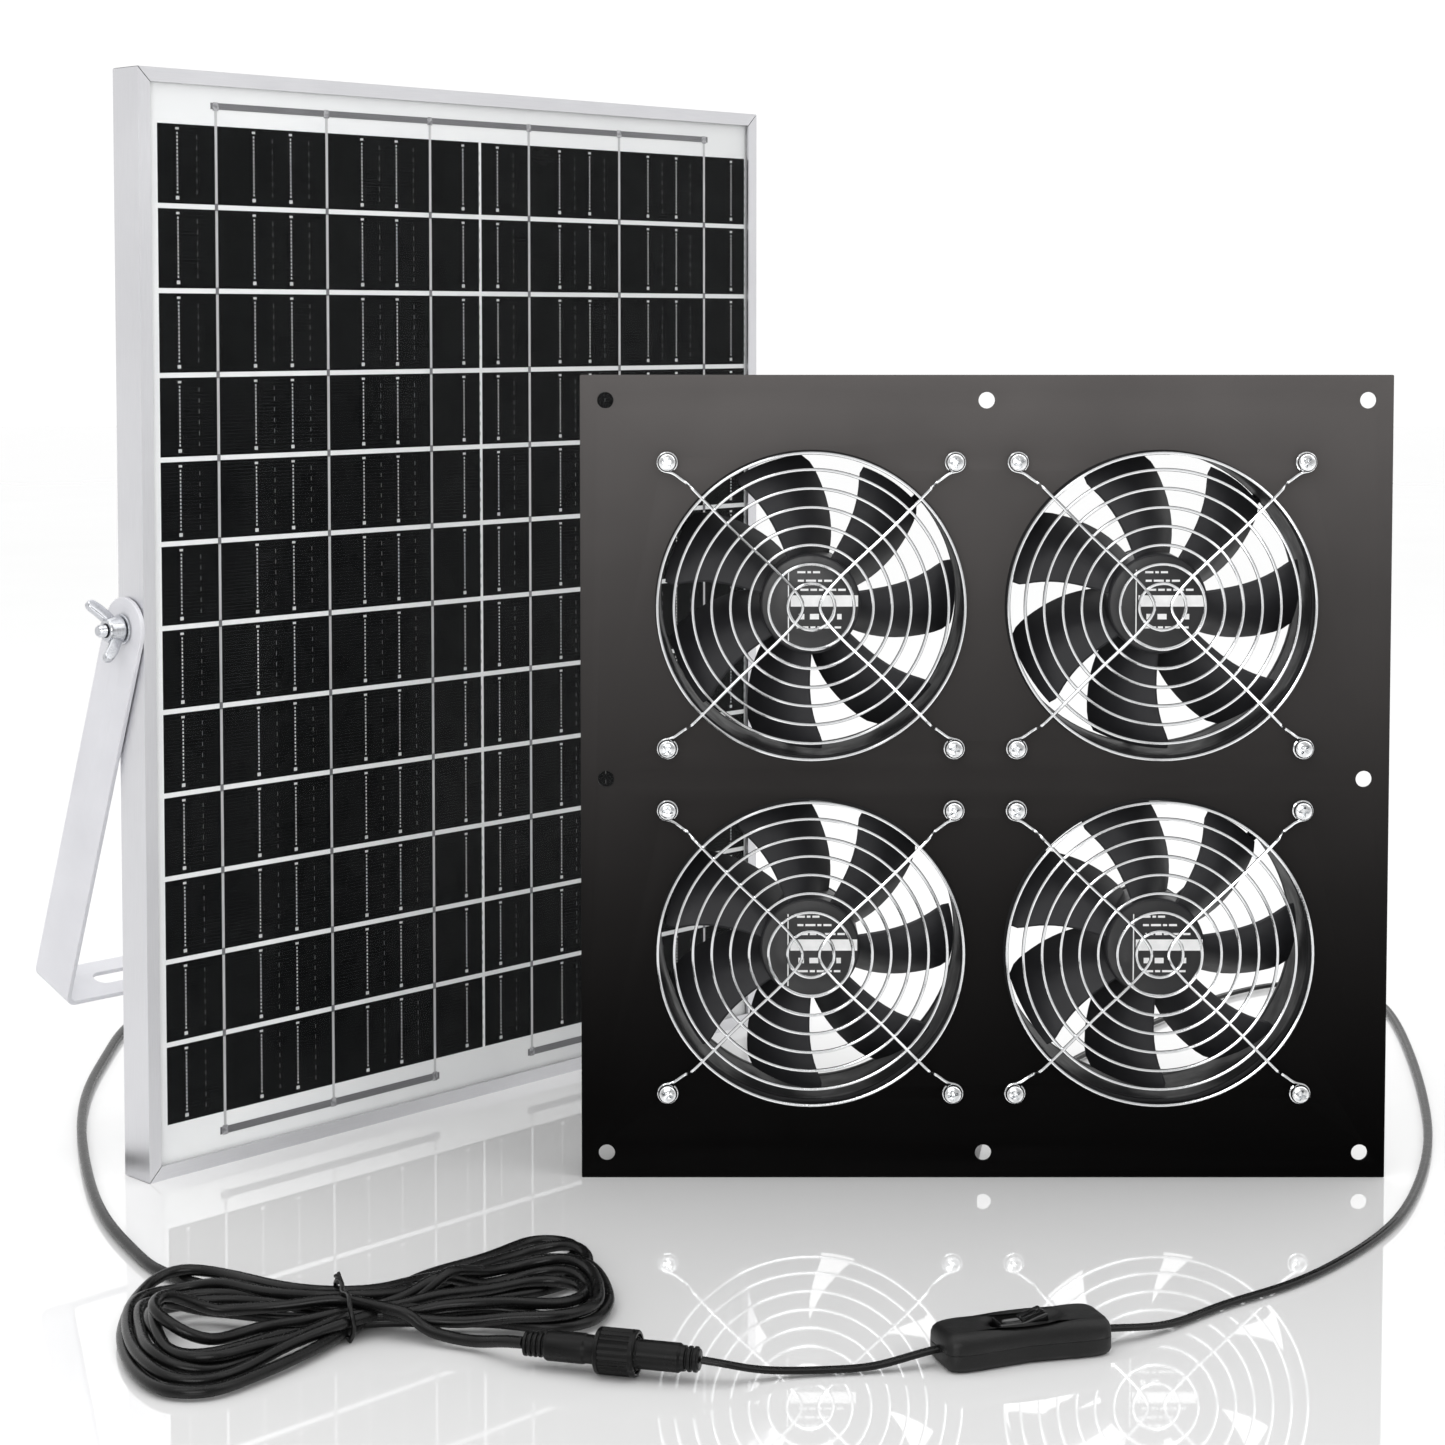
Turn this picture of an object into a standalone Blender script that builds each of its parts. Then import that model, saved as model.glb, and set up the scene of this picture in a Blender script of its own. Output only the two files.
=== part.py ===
"""Solar attic fan: a steel plate with four guarded fans, a solar panel on a folding stand,
and the lead set with its connector and in-line switch that joins them.

Frame: origin at the middle of the plate's bottom edge, +Z up, +Y away from the fans' front.
"""
import math

import bmesh
import bpy
import numpy as np
from mathutils import Matrix, Vector

MM = 0.001
GAP = 0.3 * MM  # left between pieces that touch

# Fan plate and fans. A fan's own frame has x right, y up and z out of its front.
PLATE_SIDE = 320 * MM
PLATE_THICK = 1.5 * MM
PLATE_HOLE_PITCH = 150 * MM
PLATE_HOLE_R = 3.25 * MM
FAN_OFFSET = 69 * MM
FAN_OPENING_R = 61.5 * MM
FAN_SIDE = 127 * MM
FAN_DEPTH = 38 * MM
FAN_SCREW_OFFSET = 56.65 * MM
SCREW_HOLE_R = 2.4 * MM
DUCT_INNER_R = 60 * MM
DUCT_OUTER_R = 62.4 * MM
FLANGE_THICK = 3.5 * MM
STRUT_WIDTH = 5 * MM
STRUT_TURNS = (42, 150, 264)  # degrees from the fan's right, each behind a blade at rest
SEAT_R = 20 * MM
SEAT_THICK = 3 * MM
HUB_R = 20 * MM
HUB_WALL = 1.8 * MM
HUB_FRONT = -6 * MM
HUB_REAR = -33.5 * MM
SHAFT_R = 1.5 * MM
STATOR_R = 15.5 * MM
BLADE_COUNT = 7
BLADE_FRONT = -7.5 * MM
BLADE_REAR = -30 * MM
BLADE_THICK = 1.8 * MM
# radius, angle of the front edge and angle of the rear edge of the first blade, in degrees
BLADE_STATIONS = ((19, 116.6, 66), (33, 115, 75), (48, 118, 85), (58, 122, 91))

# Finger guard and its screws.
GUARD_RINGS = ((60.5, 18), (54, 16), (46.6, 14), (39.2, 12), (31.8, 10), (24.4, 8), (16.8, 8), (9.2, 6))
WIRE_R = 0.65 * MM
RING_SECTION_R = 0.8 * MM  # three-sided section with nearly the wire's area
RING_HEIGHT = 5.5 * MM
SPOKE_HEIGHT = 6.4 * MM
EYELET_R = 3.7 * MM
EYELET_HEIGHT = PLATE_THICK / 2 + GAP + WIRE_R
GUARD_STEP_OUT, GUARD_STEP_IN = 49 * MM, 46.5 * MM
SPOKE_BENDS = ((6.6, 7.2), (4.3, 3.6), (3.3, 0))  # x and y of a radial wire's upper half near the middle
SCREW_R = 2 * MM
SCREW_HEAD_R = 3.8 * MM
SCREW_TIP = -9 * MM

# Harness behind the frames.
BRANCH_R, BRANCH_START, BRANCH_REACH = 1.3 * MM, 9 * MM, 66 * MM
TRUNK_R, TRUNK_FOOT = 2.6 * MM, 56 * MM
SLEEVE_R, SLEEVE_TOP, SLEEVE_FOOT = 3.2 * MM, 60 * MM, 30 * MM

# Solar panel. Its own frame has x along its width, y towards its back and z up.
PANEL_WIDTH = 350 * MM
PANEL_HEIGHT = 440 * MM
PANEL_PLACE = (-330.6 * MM, -9.2 * MM, 0)
PANEL_YAW = math.radians(46.03)
RAIL_WALL = 1.5 * MM
MITRE_GAP = 0.22 * MM
# inward and backward coordinates of a rail's section
RAIL_SECTION = (
    (0, 0), (5.6, 0), (5.6, 1.2), (1.5, 1.2), (1.5, 5.3), (6.6, 5.3),
    (6.6, 6.3), (1.5, 6.3), (1.5, 15.6), (9, 15.6), (9, 17), (0, 17),
)
GLASS_FRONT, GLASS_BACK = 1.5 * MM, 4.0 * MM
LAMINATE_FRONT, LAMINATE_BACK = 4.3 * MM, 5.0 * MM
PANE_INSET = 1.8 * MM
BOX_WIDTH, BOX_HEIGHT, BOX_WALL = 62 * MM, 76 * MM, 2 * MM
BOX_BOTTOM = 48 * MM
BOX_BACK = 14.8 * MM
LID_THICK = 1.8 * MM
GLAND_R, GLAND_LENGTH = 4.5 * MM, 14 * MM
GLAND_DEPTH = 10.3 * MM

# Stand bracket, in a frame on its pivot axis, hanging down.
PIVOT_DEPTH = 10.8 * MM
PIVOT_HEIGHT = 220 * MM
BRACKET_TILT = math.radians(20)
STRAP_WIDTH, STRAP_THICK = 25 * MM, 2 * MM
ARM_LENGTH = 164 * MM
ARM_CLEARANCE = 0.4 * MM
BEND_R = 4 * MM
BOLT_R = 2.5 * MM
BOLT_HEAD_R = 4 * MM
BOLT_END = 14 * MM
SLOT_PLACE, SLOT_LENGTH, SLOT_WIDTH = 145 * MM, 22 * MM, 8.5 * MM
WING_NUT_LOW = ARM_CLEARANCE + STRAP_THICK + 1.6 * MM
WING_NUT_HEIGHT = 6.6 * MM
WING_HALF_THICK = 1.1 * MM
# reach and height above the nut's foot, in mm
WING_OUTLINE = ((3.6, 0.2), (6.5, 1.6), (11, 5.2), (13.5, 8.6), (12.6, 11), (10, 11), (7, 8.2), (3.6, 4.6))
WING_TURN = math.radians(31)

# Leads, connector and switch.
PANEL_LEAD_D = 4 * MM
FAN_LEAD_D = 3 * MM
CONNECTOR_PLACE = (-168.4 * MM, -199.7 * MM, 7.6 * MM)
CONNECTOR_YAW = math.radians(-14.5)
SWITCH_PLACE = (-5.4 * MM, -190.5 * MM, 0)
SWITCH_YAW = math.radians(18)
SWITCH_HALF = 29.5 * MM
SWITCH_HALF_WIDTH = 11 * MM
SWITCH_WAIST = 1.6 * MM
SWITCH_SPLIT, SWITCH_TOP = 6 * MM, 12.5 * MM
SWITCH_WALL = 1.8 * MM
ROCKER_AXIS_HEIGHT = 9.5 * MM
ROCKER_TILT = math.radians(8)
ROCKER_WINDOW = (9.8 * MM, 4.8 * MM)
ROCKER_HALF, ROCKER_HALF_WIDTH = 8.6 * MM, 4.1 * MM
ROCKER_RISE, ROCKER_DROP = 2.8 * MM, 1.6 * MM
# radius and place along the axis, in mm
MALE_PROFILE = (
    (0, 0), (3.5, 0), (3.5, 6.4), (5, 6.8), (5, 26.9), (5.9, 26.9), (5.9, 28.4), (3.4, 28.4), (3.4, 36), (0, 36),
)
RING_PROFILE = ((5.3, 24.9), (7.4, 24.9), (7.4, 38.5), (6.2, 38.5), (6.2, 26.6), (5.3, 26.6))
FEMALE_PROFILE = (
    (0, 37), (3.8, 37), (3.8, 28.7), (5.7, 28.7), (5.7, 38.8), (4.7, 38.8), (4.5, 53.6), (4, 54), (4, 59.4),
    (0, 59.4),
)
HANK_PLACE = (-232.1 * MM, -169.1 * MM, 0)
HANK_YAW = math.radians(21)
HANK_WAIST = 12 * MM
# reach of a lobe from the tie, and how much it widens there
HANK_RIGHT, HANK_LEFT = (94 * MM, 54 * MM), (73 * MM, 82 * MM)
HANK_HEIGHT = 14 * MM
TIE_R = 0.9 * MM

# Routes of the leads, in metres, hand-chosen: the smooth curve through them is the lead.
PANEL_LEAD_ROUTE = (
    (-0.2165, 0.1238, 0.0331), (-0.2166, 0.1239, 0.0270), (-0.2188, 0.1261, 0.0195),
    (-0.2240, 0.1306, 0.0125), (-0.2325, 0.1375, 0.0062), (-0.2450, 0.1475, 0.0026),
    (-0.2620, 0.1620, 0.0022), (-0.2850, 0.1850, 0.0022), (-0.3080, 0.2130, 0.0022),
    (-0.3330, 0.2420, 0.0022), (-0.3590, 0.2600, 0.0022), (-0.3810, 0.2540, 0.0022),
    (-0.3905, 0.2250, 0.0022), (-0.3893, 0.1803, 0.0022), (-0.3862, 0.1362, 0.0022),
    (-0.3797, 0.0889, 0.0022), (-0.3703, 0.0465, 0.0022), (-0.3579, 0.0018, 0.0022),
    (-0.3461, -0.0348, 0.0022), (-0.3326, -0.0678, 0.0022), (-0.3180, -0.0956, 0.0022),
    (-0.3055, -0.1165, 0.0023), (-0.3008, -0.1350, 0.0028), (-0.2983, -0.1526, 0.0036),
)
TAIL_ROUTE = (
    (-0.2137, -0.1779, 0.0060), (-0.2120, -0.1810, 0.0056), (-0.2064, -0.1848, 0.0046),
    (-0.1969, -0.1883, 0.0036), (-0.1847, -0.1924, 0.0046), (-0.1765, -0.1972, 0.0065),
    (-0.1688, -0.1996, 0.0076),
)
FAN_LEAD_IN_ROUTE = (
    (-0.1106, -0.2147, 0.0076), (-0.1040, -0.2156, 0.0068), (-0.0945, -0.2137, 0.0044),
    (-0.0820, -0.2100, 0.0023), (-0.0680, -0.2078, 0.0018), (-0.0540, -0.2058, 0.0024),
    (-0.0430, -0.2028, 0.0042), (-0.0338, -0.1998, 0.0055),
)
FAN_LEAD_OUT_ROUTE = (
    (0.0230, -0.1813, 0.0055), (0.0310, -0.1785, 0.0048), (0.0450, -0.1700, 0.0026),
    (0.0677, -0.1499, 0.0018), (0.0925, -0.1311, 0.0018), (0.1243, -0.0978, 0.0018),
    (0.1506, -0.0586, 0.0018), (0.1670, -0.0225, 0.0018), (0.1803, 0.0149, 0.0018),
    (0.1928, 0.0593, 0.0018), (0.2022, 0.1027, 0.0018), (0.2112, 0.1528, 0.0018),
    (0.2188, 0.2036, 0.0018), (0.2240, 0.2527, 0.0018), (0.2180, 0.2950, 0.0018),
    (0.1940, 0.3150, 0.0018), (0.1620, 0.3020, 0.0018), (0.1230, 0.2600, 0.0018),
    (0.0820, 0.2050, 0.0018), (0.0450, 0.1480, 0.0018), (0.0180, 0.0980, 0.0020),
    (0.0060, 0.0690, 0.0042), (0.0012, 0.0510, 0.0110), (0.0000, 0.0430, 0.0220),
    (0.0000, 0.0425, 0.0297),
)


# ---------------------------------------------------------------- general tools

def clear_scene():
    for obj in list(bpy.data.objects):
        bpy.data.objects.remove(obj, do_unlink=True)


def make_material(name, colour, roughness, metallic=0.0):
    material = bpy.data.materials.new(name)
    material.use_nodes = True
    shader = material.node_tree.nodes["Principled BSDF"]
    shader.inputs["Base Color"].default_value = (*colour, 1.0)
    shader.inputs["Roughness"].default_value = roughness
    shader.inputs["Metallic"].default_value = metallic
    material.diffuse_color = (*colour, 1.0)
    return material


def add_mesh(name, bm):
    """Turn a bmesh into a new scene object with its faces pointing out."""
    bmesh.ops.recalc_face_normals(bm, faces=bm.faces)
    mesh = bpy.data.meshes.new(name)
    bm.to_mesh(mesh)
    bm.free()
    return add_object(name, mesh)


def add_object(name, data):
    obj = bpy.data.objects.new(name, data)
    bpy.context.scene.collection.objects.link(obj)
    return obj


def add_frame(name, place, yaw):
    """Add an empty that holds the pieces built in its frame."""
    empty = add_object(name, None)
    empty.location = place
    empty.rotation_euler = (0, 0, yaw)
    return empty


def finish(obj, material, smooth=False):
    obj.data.materials.clear()
    obj.data.materials.append(material)
    if smooth:
        obj.data.shade_smooth()
        obj.data.set_sharp_from_angle(angle=math.radians(35))
    return obj


def prism(bm, outline, low, high):
    """Extrude an outline in the XY plane from z = low to z = high."""
    bottom = [bm.verts.new((x, y, low)) for x, y in outline]
    top = [bm.verts.new((x, y, high)) for x, y in outline]
    bm.faces.new(reversed(bottom))
    bm.faces.new(top)
    for i, _ in enumerate(outline):
        j = (i + 1) % len(outline)
        bm.faces.new((bottom[i], bottom[j], top[j], top[i]))


def block(bm, low, high):
    """Add a box between two corners."""
    corners = ((low[0], low[1]), (high[0], low[1]), (high[0], high[1]), (low[0], high[1]))
    prism(bm, corners, low[2], high[2])


def circle(centre, radius, sides, start=0.0):
    angles = [start + 2 * math.pi * i / sides for i in range(sides)]
    return [(centre[0] + radius * math.cos(a), centre[1] + radius * math.sin(a)) for a in angles]


def rounded_rectangle(half_x, half_y, radius, corner_steps):
    points = []
    for quarter, (sx, sy) in enumerate(((1, 1), (-1, 1), (-1, -1), (1, -1))):
        for step in range(corner_steps + 1):
            angle = math.pi / 2 * (quarter + step / corner_steps)
            points.append((sx * (half_x - radius) + radius * math.cos(angle),
                           sy * (half_y - radius) + radius * math.sin(angle)))
    return points


def lathe(bm, profile, sides, closed=False):
    """Turn (radius, z) points about Z; a radius of 0 is a point on the axis."""
    rows = []
    for radius, z in profile:
        if radius == 0:
            rows.append([bm.verts.new((0, 0, z))])
        else:
            rows.append([bm.verts.new((x, y, z)) for x, y in circle((0, 0), radius, sides)])
    pairs = list(zip(rows, rows[1:]))
    if closed:
        pairs.append((rows[-1], rows[0]))
    for first, second in pairs:
        for i in range(sides):
            j = (i + 1) % sides
            corners = [first[i % len(first)], first[j % len(first)],
                       second[j % len(second)], second[i % len(second)]]
            unique = list(dict.fromkeys(corners))
            bm.faces.new(unique)


def sweep(bm, points, radius, sides, closed=False):
    """Run a round section along a polyline, with mitred corners."""
    points = [Vector(p) for p in points]
    count = len(points)
    frames = []
    normal = None
    for i, point in enumerate(points):
        before = points[i - 1] if (closed or i > 0) else point
        after = points[(i + 1) % count] if (closed or i < count - 1) else point
        tangent = (after - before).normalized()
        if normal is None:
            normal = tangent.orthogonal().normalized()
        normal = (normal - tangent * normal.dot(tangent)).normalized()
        frames.append((point, normal, tangent.cross(normal)))
    rows = []
    for point, across, other in frames:
        row = []
        for x, y in circle((0, 0), radius, sides):
            row.append(bm.verts.new(point + across * x + other * y))
        rows.append(row)
    pairs = list(zip(rows, rows[1:]))
    if closed:
        pairs.append((rows[-1], rows[0]))
    else:
        bm.faces.new(rows[0])
        bm.faces.new(reversed(rows[-1]))
    for first, second in pairs:
        for i in range(sides):
            j = (i + 1) % sides
            bm.faces.new((first[i], first[j], second[j], second[i]))


def boolean(obj, tool, operation):
    """Apply one exact Boolean between two objects and drop the tool."""
    modifier = obj.modifiers.new(operation.lower(), "BOOLEAN")
    modifier.operation = operation
    modifier.solver = "EXACT"
    modifier.object = tool
    depsgraph = bpy.context.evaluated_depsgraph_get()
    result = bpy.data.meshes.new_from_object(obj.evaluated_get(depsgraph))
    obj.modifiers.clear()
    obj.data = result
    bpy.data.objects.remove(tool, do_unlink=True)
    return obj


def cut_round_holes(obj, centres, radius, sides, low, high):
    """Cut round holes along Z through an object."""
    bm = bmesh.new()
    for centre in centres:
        prism(bm, circle(centre, radius, sides, math.pi / sides), low, high)
    return boolean(obj, add_mesh("hole_tool", bm), "DIFFERENCE")


def smooth_curve(points, spacing):
    """Points at an even spacing on the natural cubic spline through the route's points."""
    points = np.array(points, dtype=float)
    knots = np.concatenate(([0.0], np.cumsum(np.linalg.norm(np.diff(points, axis=0), axis=1))))
    steps = np.diff(knots)
    count = len(points)
    system = np.eye(count)
    load = np.zeros((count, 3))
    for i in range(1, count - 1):
        system[i, i - 1:i + 2] = (steps[i - 1], 2 * (steps[i - 1] + steps[i]), steps[i])
        load[i] = 6 * ((points[i + 1] - points[i]) / steps[i] - (points[i] - points[i - 1]) / steps[i - 1])
    bend = np.linalg.solve(system, load)

    def at(distance):
        i = min(int(np.searchsorted(knots, distance, side="right")) - 1, count - 2)
        h, a, b = steps[i], knots[i + 1] - distance, distance - knots[i]
        return (bend[i] * a ** 3 / (6 * h) + bend[i + 1] * b ** 3 / (6 * h)
                + (points[i] / h - bend[i] * h / 6) * a + (points[i + 1] / h - bend[i + 1] * h / 6) * b)

    pieces = max(2, round(knots[-1] / spacing))
    return [at(knots[-1] * k / pieces) for k in range(pieces + 1)]


def add_lead(name, route, diameter, spacing, material):
    curve = bpy.data.curves.new(name, "CURVE")
    curve.dimensions = "3D"
    curve.bevel_depth = diameter / 2
    curve.bevel_resolution = 2
    curve.use_fill_caps = True
    spline = curve.splines.new("POLY")
    points = smooth_curve(route, spacing)
    spline.points.add(len(points) - 1)
    for target, point in zip(spline.points, points):
        target.co = (*point, 1.0)
    curve.materials.append(material)
    return add_object(name, curve)


# ---------------------------------------------------------------- fan unit

def fan_centres():
    """Centres of the four fans in the plate's own frame: top left, top right, bottom left, bottom right."""
    middle = PLATE_SIDE / 2
    return [(sx * FAN_OFFSET, middle + sz * FAN_OFFSET) for sz in (1, -1) for sx in (-1, 1)]


def stand_up(obj, x=0.0, z=0.0):
    """Stand a piece built in the XY plane so that its z points out of the plate's front."""
    obj.location = (x, 0, z)
    obj.rotation_euler = (math.pi / 2, 0, 0)


def screw_corners():
    return [(sx * FAN_SCREW_OFFSET, sy * FAN_SCREW_OFFSET) for sy in (1, -1) for sx in (-1, 1)]


def build_plate(material):
    bm = bmesh.new()
    half, front = PLATE_SIDE / 2, PLATE_THICK / 2
    block(bm, (-half, 0, -front), (half, PLATE_SIDE, front))
    plate = add_mesh("fan_plate", bm)
    pitch = PLATE_HOLE_PITCH
    fixing = [(x, half + y) for x in (-pitch, 0, pitch) for y in (-pitch, 0, pitch) if (x, y) != (0, 0)]
    screws = [(cx + x, cy + y) for cx, cy in fan_centres() for x, y in screw_corners()]
    cut_round_holes(plate, fan_centres(), FAN_OPENING_R, 36, -4 * MM, 4 * MM)
    cut_round_holes(plate, fixing, PLATE_HOLE_R, 8, -4 * MM, 4 * MM)
    cut_round_holes(plate, screws, SCREW_HOLE_R, 6, -4 * MM, 4 * MM)
    stand_up(plate)
    return finish(plate, material)


def frame_mesh():
    """A fan's square frame: two flanges on a round duct, and three struts with the motor seat."""
    front = -PLATE_THICK / 2 - GAP
    rear = front - FAN_DEPTH
    outline = rounded_rectangle(FAN_SIDE / 2, FAN_SIDE / 2, 6 * MM, 1)
    bm = bmesh.new()
    prism(bm, outline, front - FLANGE_THICK, front)
    frame = add_mesh("frame_stock", bm)
    bm = bmesh.new()
    prism(bm, outline, rear, rear + FLANGE_THICK)
    rear_flange = add_mesh("rear_flange", bm)
    bm = bmesh.new()
    prism(bm, circle((0, 0), DUCT_OUTER_R, 32), rear + MM, front - MM)
    boolean(frame, add_mesh("duct", bm), "UNION")
    boolean(frame, rear_flange, "UNION")
    cut_round_holes(frame, [(0, 0)], DUCT_INNER_R, 32, rear - 5 * MM, front + 5 * MM)
    cut_round_holes(frame, screw_corners(), SCREW_HOLE_R, 6, rear - 5 * MM, front + 5 * MM)
    bm = bmesh.new()
    prism(bm, circle((0, 0), SEAT_R, 18), rear + MM, rear + MM + SEAT_THICK)
    seat = add_mesh("seat", bm)
    for turn in STRUT_TURNS:
        bm = bmesh.new()
        block(bm, (SEAT_R - 3 * MM, -STRUT_WIDTH / 2, rear + 0.4 * MM),
              (DUCT_INNER_R + 1.5 * MM, STRUT_WIDTH / 2, rear + MM + SEAT_THICK - 0.4 * MM))
        bmesh.ops.rotate(bm, verts=bm.verts, cent=(0, 0, 0), matrix=Matrix.Rotation(math.radians(turn), 3, "Z"))
        boolean(seat, add_mesh("strut", bm), "UNION")
    return boolean(frame, seat, "UNION")


def add_blade(bm, turn):
    """Loft one blade between its radial stations, as a thin closed solid."""
    front_row, rear_row = [], []
    for radius, front_angle, rear_angle in BLADE_STATIONS:
        for row, angle, z in ((front_row, front_angle, BLADE_FRONT), (rear_row, rear_angle, BLADE_REAR)):
            a = math.radians(angle) + turn
            row.append(Vector((radius * MM * math.cos(a), radius * MM * math.sin(a), z)))
    grid = []
    for front, rear in zip(front_row, rear_row):
        chord = rear - front
        lift = Vector((0, 0, 1)) - chord * (chord.z / chord.length_squared)
        lift.normalize()
        grid.append([front, front + chord * 0.45 + lift * 2.2 * MM, rear])
    sheets = []
    for side in (1, -1):
        sheet = []
        for row in grid:
            chord = (row[2] - row[0]).normalized()
            radial = Vector((row[1].x, row[1].y, 0)).normalized()
            normal = chord.cross(radial).normalized()
            sheet.append([bm.verts.new(p + normal * side * BLADE_THICK / 2) for p in row])
        sheets.append(sheet)
    upper, lower = sheets
    rows, columns = len(grid), 3
    for i in range(rows - 1):
        for j in range(columns - 1):
            bm.faces.new((upper[i][j], upper[i + 1][j], upper[i + 1][j + 1], upper[i][j + 1]))
            bm.faces.new((lower[i][j], lower[i][j + 1], lower[i + 1][j + 1], lower[i + 1][j]))
    rim = [(0, j) for j in range(columns)] + [(i, columns - 1) for i in range(1, rows)]
    rim += [(rows - 1, j) for j in range(columns - 2, -1, -1)] + [(i, 0) for i in range(rows - 2, 0, -1)]
    for (a, b), (c, d) in zip(rim, rim[1:] + rim[:1]):
        bm.faces.new((upper[a][b], upper[c][d], lower[c][d], lower[a][b]))


def impeller_mesh():
    """Hub cup with its moulded-in shaft and the seven blades."""
    bm = bmesh.new()
    inner = HUB_R - HUB_WALL
    lathe(bm, ((0, HUB_FRONT), (HUB_R, HUB_FRONT), (HUB_R, HUB_REAR), (inner, HUB_REAR),
               (inner, HUB_FRONT - 2 * MM), (SHAFT_R, HUB_FRONT - 2 * MM),
               (SHAFT_R, HUB_REAR - 0.5 * MM), (0, HUB_REAR - 0.5 * MM)), 14)
    hub = add_mesh("impeller_stock", bm)
    for index in range(BLADE_COUNT):
        bm = bmesh.new()
        add_blade(bm, 2 * math.pi * index / BLADE_COUNT)
        boolean(hub, add_mesh("blade", bm), "UNION")
    return hub


def stator_mesh():
    """Motor core on its bearing sleeve, a thick ring round the shaft."""
    bore = SHAFT_R + 0.3 * MM
    top, bottom = -11 * MM, -PLATE_THICK / 2 - GAP - FAN_DEPTH + MM + SEAT_THICK + GAP
    bm = bmesh.new()
    lathe(bm, ((bore, bottom), (STATOR_R - 4 * MM, bottom), (STATOR_R - 4 * MM, bottom + 3 * MM),
               (STATOR_R, bottom + 3 * MM), (STATOR_R, top), (bore, top)), 10, closed=True)
    return add_mesh("stator_stock", bm)


def guard_mesh():
    """Eight wire rings, two bent radial wires in front of them, and four screw eyelets."""
    wires = []
    for corner in screw_corners():
        bm = bmesh.new()
        sweep(bm, [(x, y, EYELET_HEIGHT) for x, y in circle(corner, EYELET_R, 7)], WIRE_R, 4, closed=True)
        wires.append(add_mesh("guard_stock", bm))
    outward = FAN_SCREW_OFFSET - EYELET_R * math.sqrt(0.5)
    for side in (-1, 1):
        upper = [(outward, outward, EYELET_HEIGHT),
                 (GUARD_STEP_OUT, GUARD_STEP_OUT, EYELET_HEIGHT + 0.3 * MM),
                 (GUARD_STEP_IN, GUARD_STEP_IN, SPOKE_HEIGHT)]
        upper += [(x * MM, y * MM, SPOKE_HEIGHT) for x, y in SPOKE_BENDS]
        lower = [(x, -y, z) for x, y, z in reversed(upper[:-1])]
        bm = bmesh.new()
        sweep(bm, [(side * x, y, z) for x, y, z in upper + lower], WIRE_R, 4)
        wires.append(add_mesh("spoke", bm))
    for radius, sides in GUARD_RINGS:
        bm = bmesh.new()
        ring = circle((0, 0), radius * MM, sides, math.pi / sides)
        sweep(bm, [(x, y, RING_HEIGHT) for x, y in ring], RING_SECTION_R, 3, closed=True)
        wires.append(add_mesh("ring", bm))
    guard = wires[0]
    for wire in wires[1:]:
        boolean(guard, wire, "UNION")
    return guard


def screw_mesh():
    head = EYELET_HEIGHT + WIRE_R + GAP
    bm = bmesh.new()
    lathe(bm, ((0, SCREW_TIP), (SCREW_R, SCREW_TIP), (SCREW_R, head), (SCREW_HEAD_R, head),
               (SCREW_HEAD_R - 0.6 * MM, head + 2.2 * MM), (0, head + 2.4 * MM)), 8)
    return add_mesh("screw_stock", bm)


def build_fans(materials):
    """Place one frame, impeller, stator, guard and four screws at each opening."""
    stock = (
        (frame_mesh(), "fan_frame", "fan_frame", True),
        (impeller_mesh(), "impeller", "impeller", True),
        (stator_mesh(), "stator", "motor", True),
        (guard_mesh(), "finger_guard", "guard_wire", True),
    )
    for source, name, slot, smooth in stock:
        finish(source, materials[slot], smooth)
        for number, (x, z) in enumerate(fan_centres(), start=1):
            stand_up(add_object(f"{name}_{number}", source.data), x, z)
        bpy.data.objects.remove(source, do_unlink=True)
    screw = finish(screw_mesh(), materials["screw"], True)
    places = [(cx + x, cz + y) for cx, cz in fan_centres() for x, y in screw_corners()]
    for number, (x, z) in enumerate(places, start=1):
        stand_up(add_object(f"guard_screw_{number:02d}", screw.data), x, z)
    bpy.data.objects.remove(screw, do_unlink=True)


def build_harness(material):
    """The fans' leads along their struts and behind the frames, joined into one trunk with a splice sleeve."""
    middle = PLATE_SIDE / 2
    behind = PLATE_THICK / 2 + GAP + FAN_DEPTH
    branch_y, trunk_y = behind + 1.7 * MM, behind + 3.4 * MM
    bm = bmesh.new()
    left_turn, right_turn = (math.radians(turn) for turn in STRUT_TURNS[:2])
    rise = BRANCH_REACH * math.sin(left_turn)
    sweep(bm, [(0, trunk_y, middle + FAN_OFFSET + rise + 2 * MM), (0, trunk_y, TRUNK_FOOT)], TRUNK_R, 8)
    harness = add_mesh("fan_harness", bm)
    bm = bmesh.new()
    sweep(bm, [(0, trunk_y, SLEEVE_TOP), (0, trunk_y, SLEEVE_FOOT)], SLEEVE_R, 8)
    boolean(harness, add_mesh("sleeve", bm), "UNION")
    for height in (middle + FAN_OFFSET, middle - FAN_OFFSET):
        ends = [[(x + radius * math.cos(turn), branch_y, height + radius * math.sin(turn))
                 for radius in (BRANCH_START, BRANCH_REACH)]
                for x, turn in ((-FAN_OFFSET, left_turn), (FAN_OFFSET, right_turn))]
        bm = bmesh.new()
        sweep(bm, [*ends[0], (1.5 * MM, branch_y, height + rise), *reversed(ends[1])], BRANCH_R, 6)
        boolean(harness, add_mesh("branch", bm), "UNION")
    return finish(harness, material, True)


# ---------------------------------------------------------------- solar panel

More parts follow.
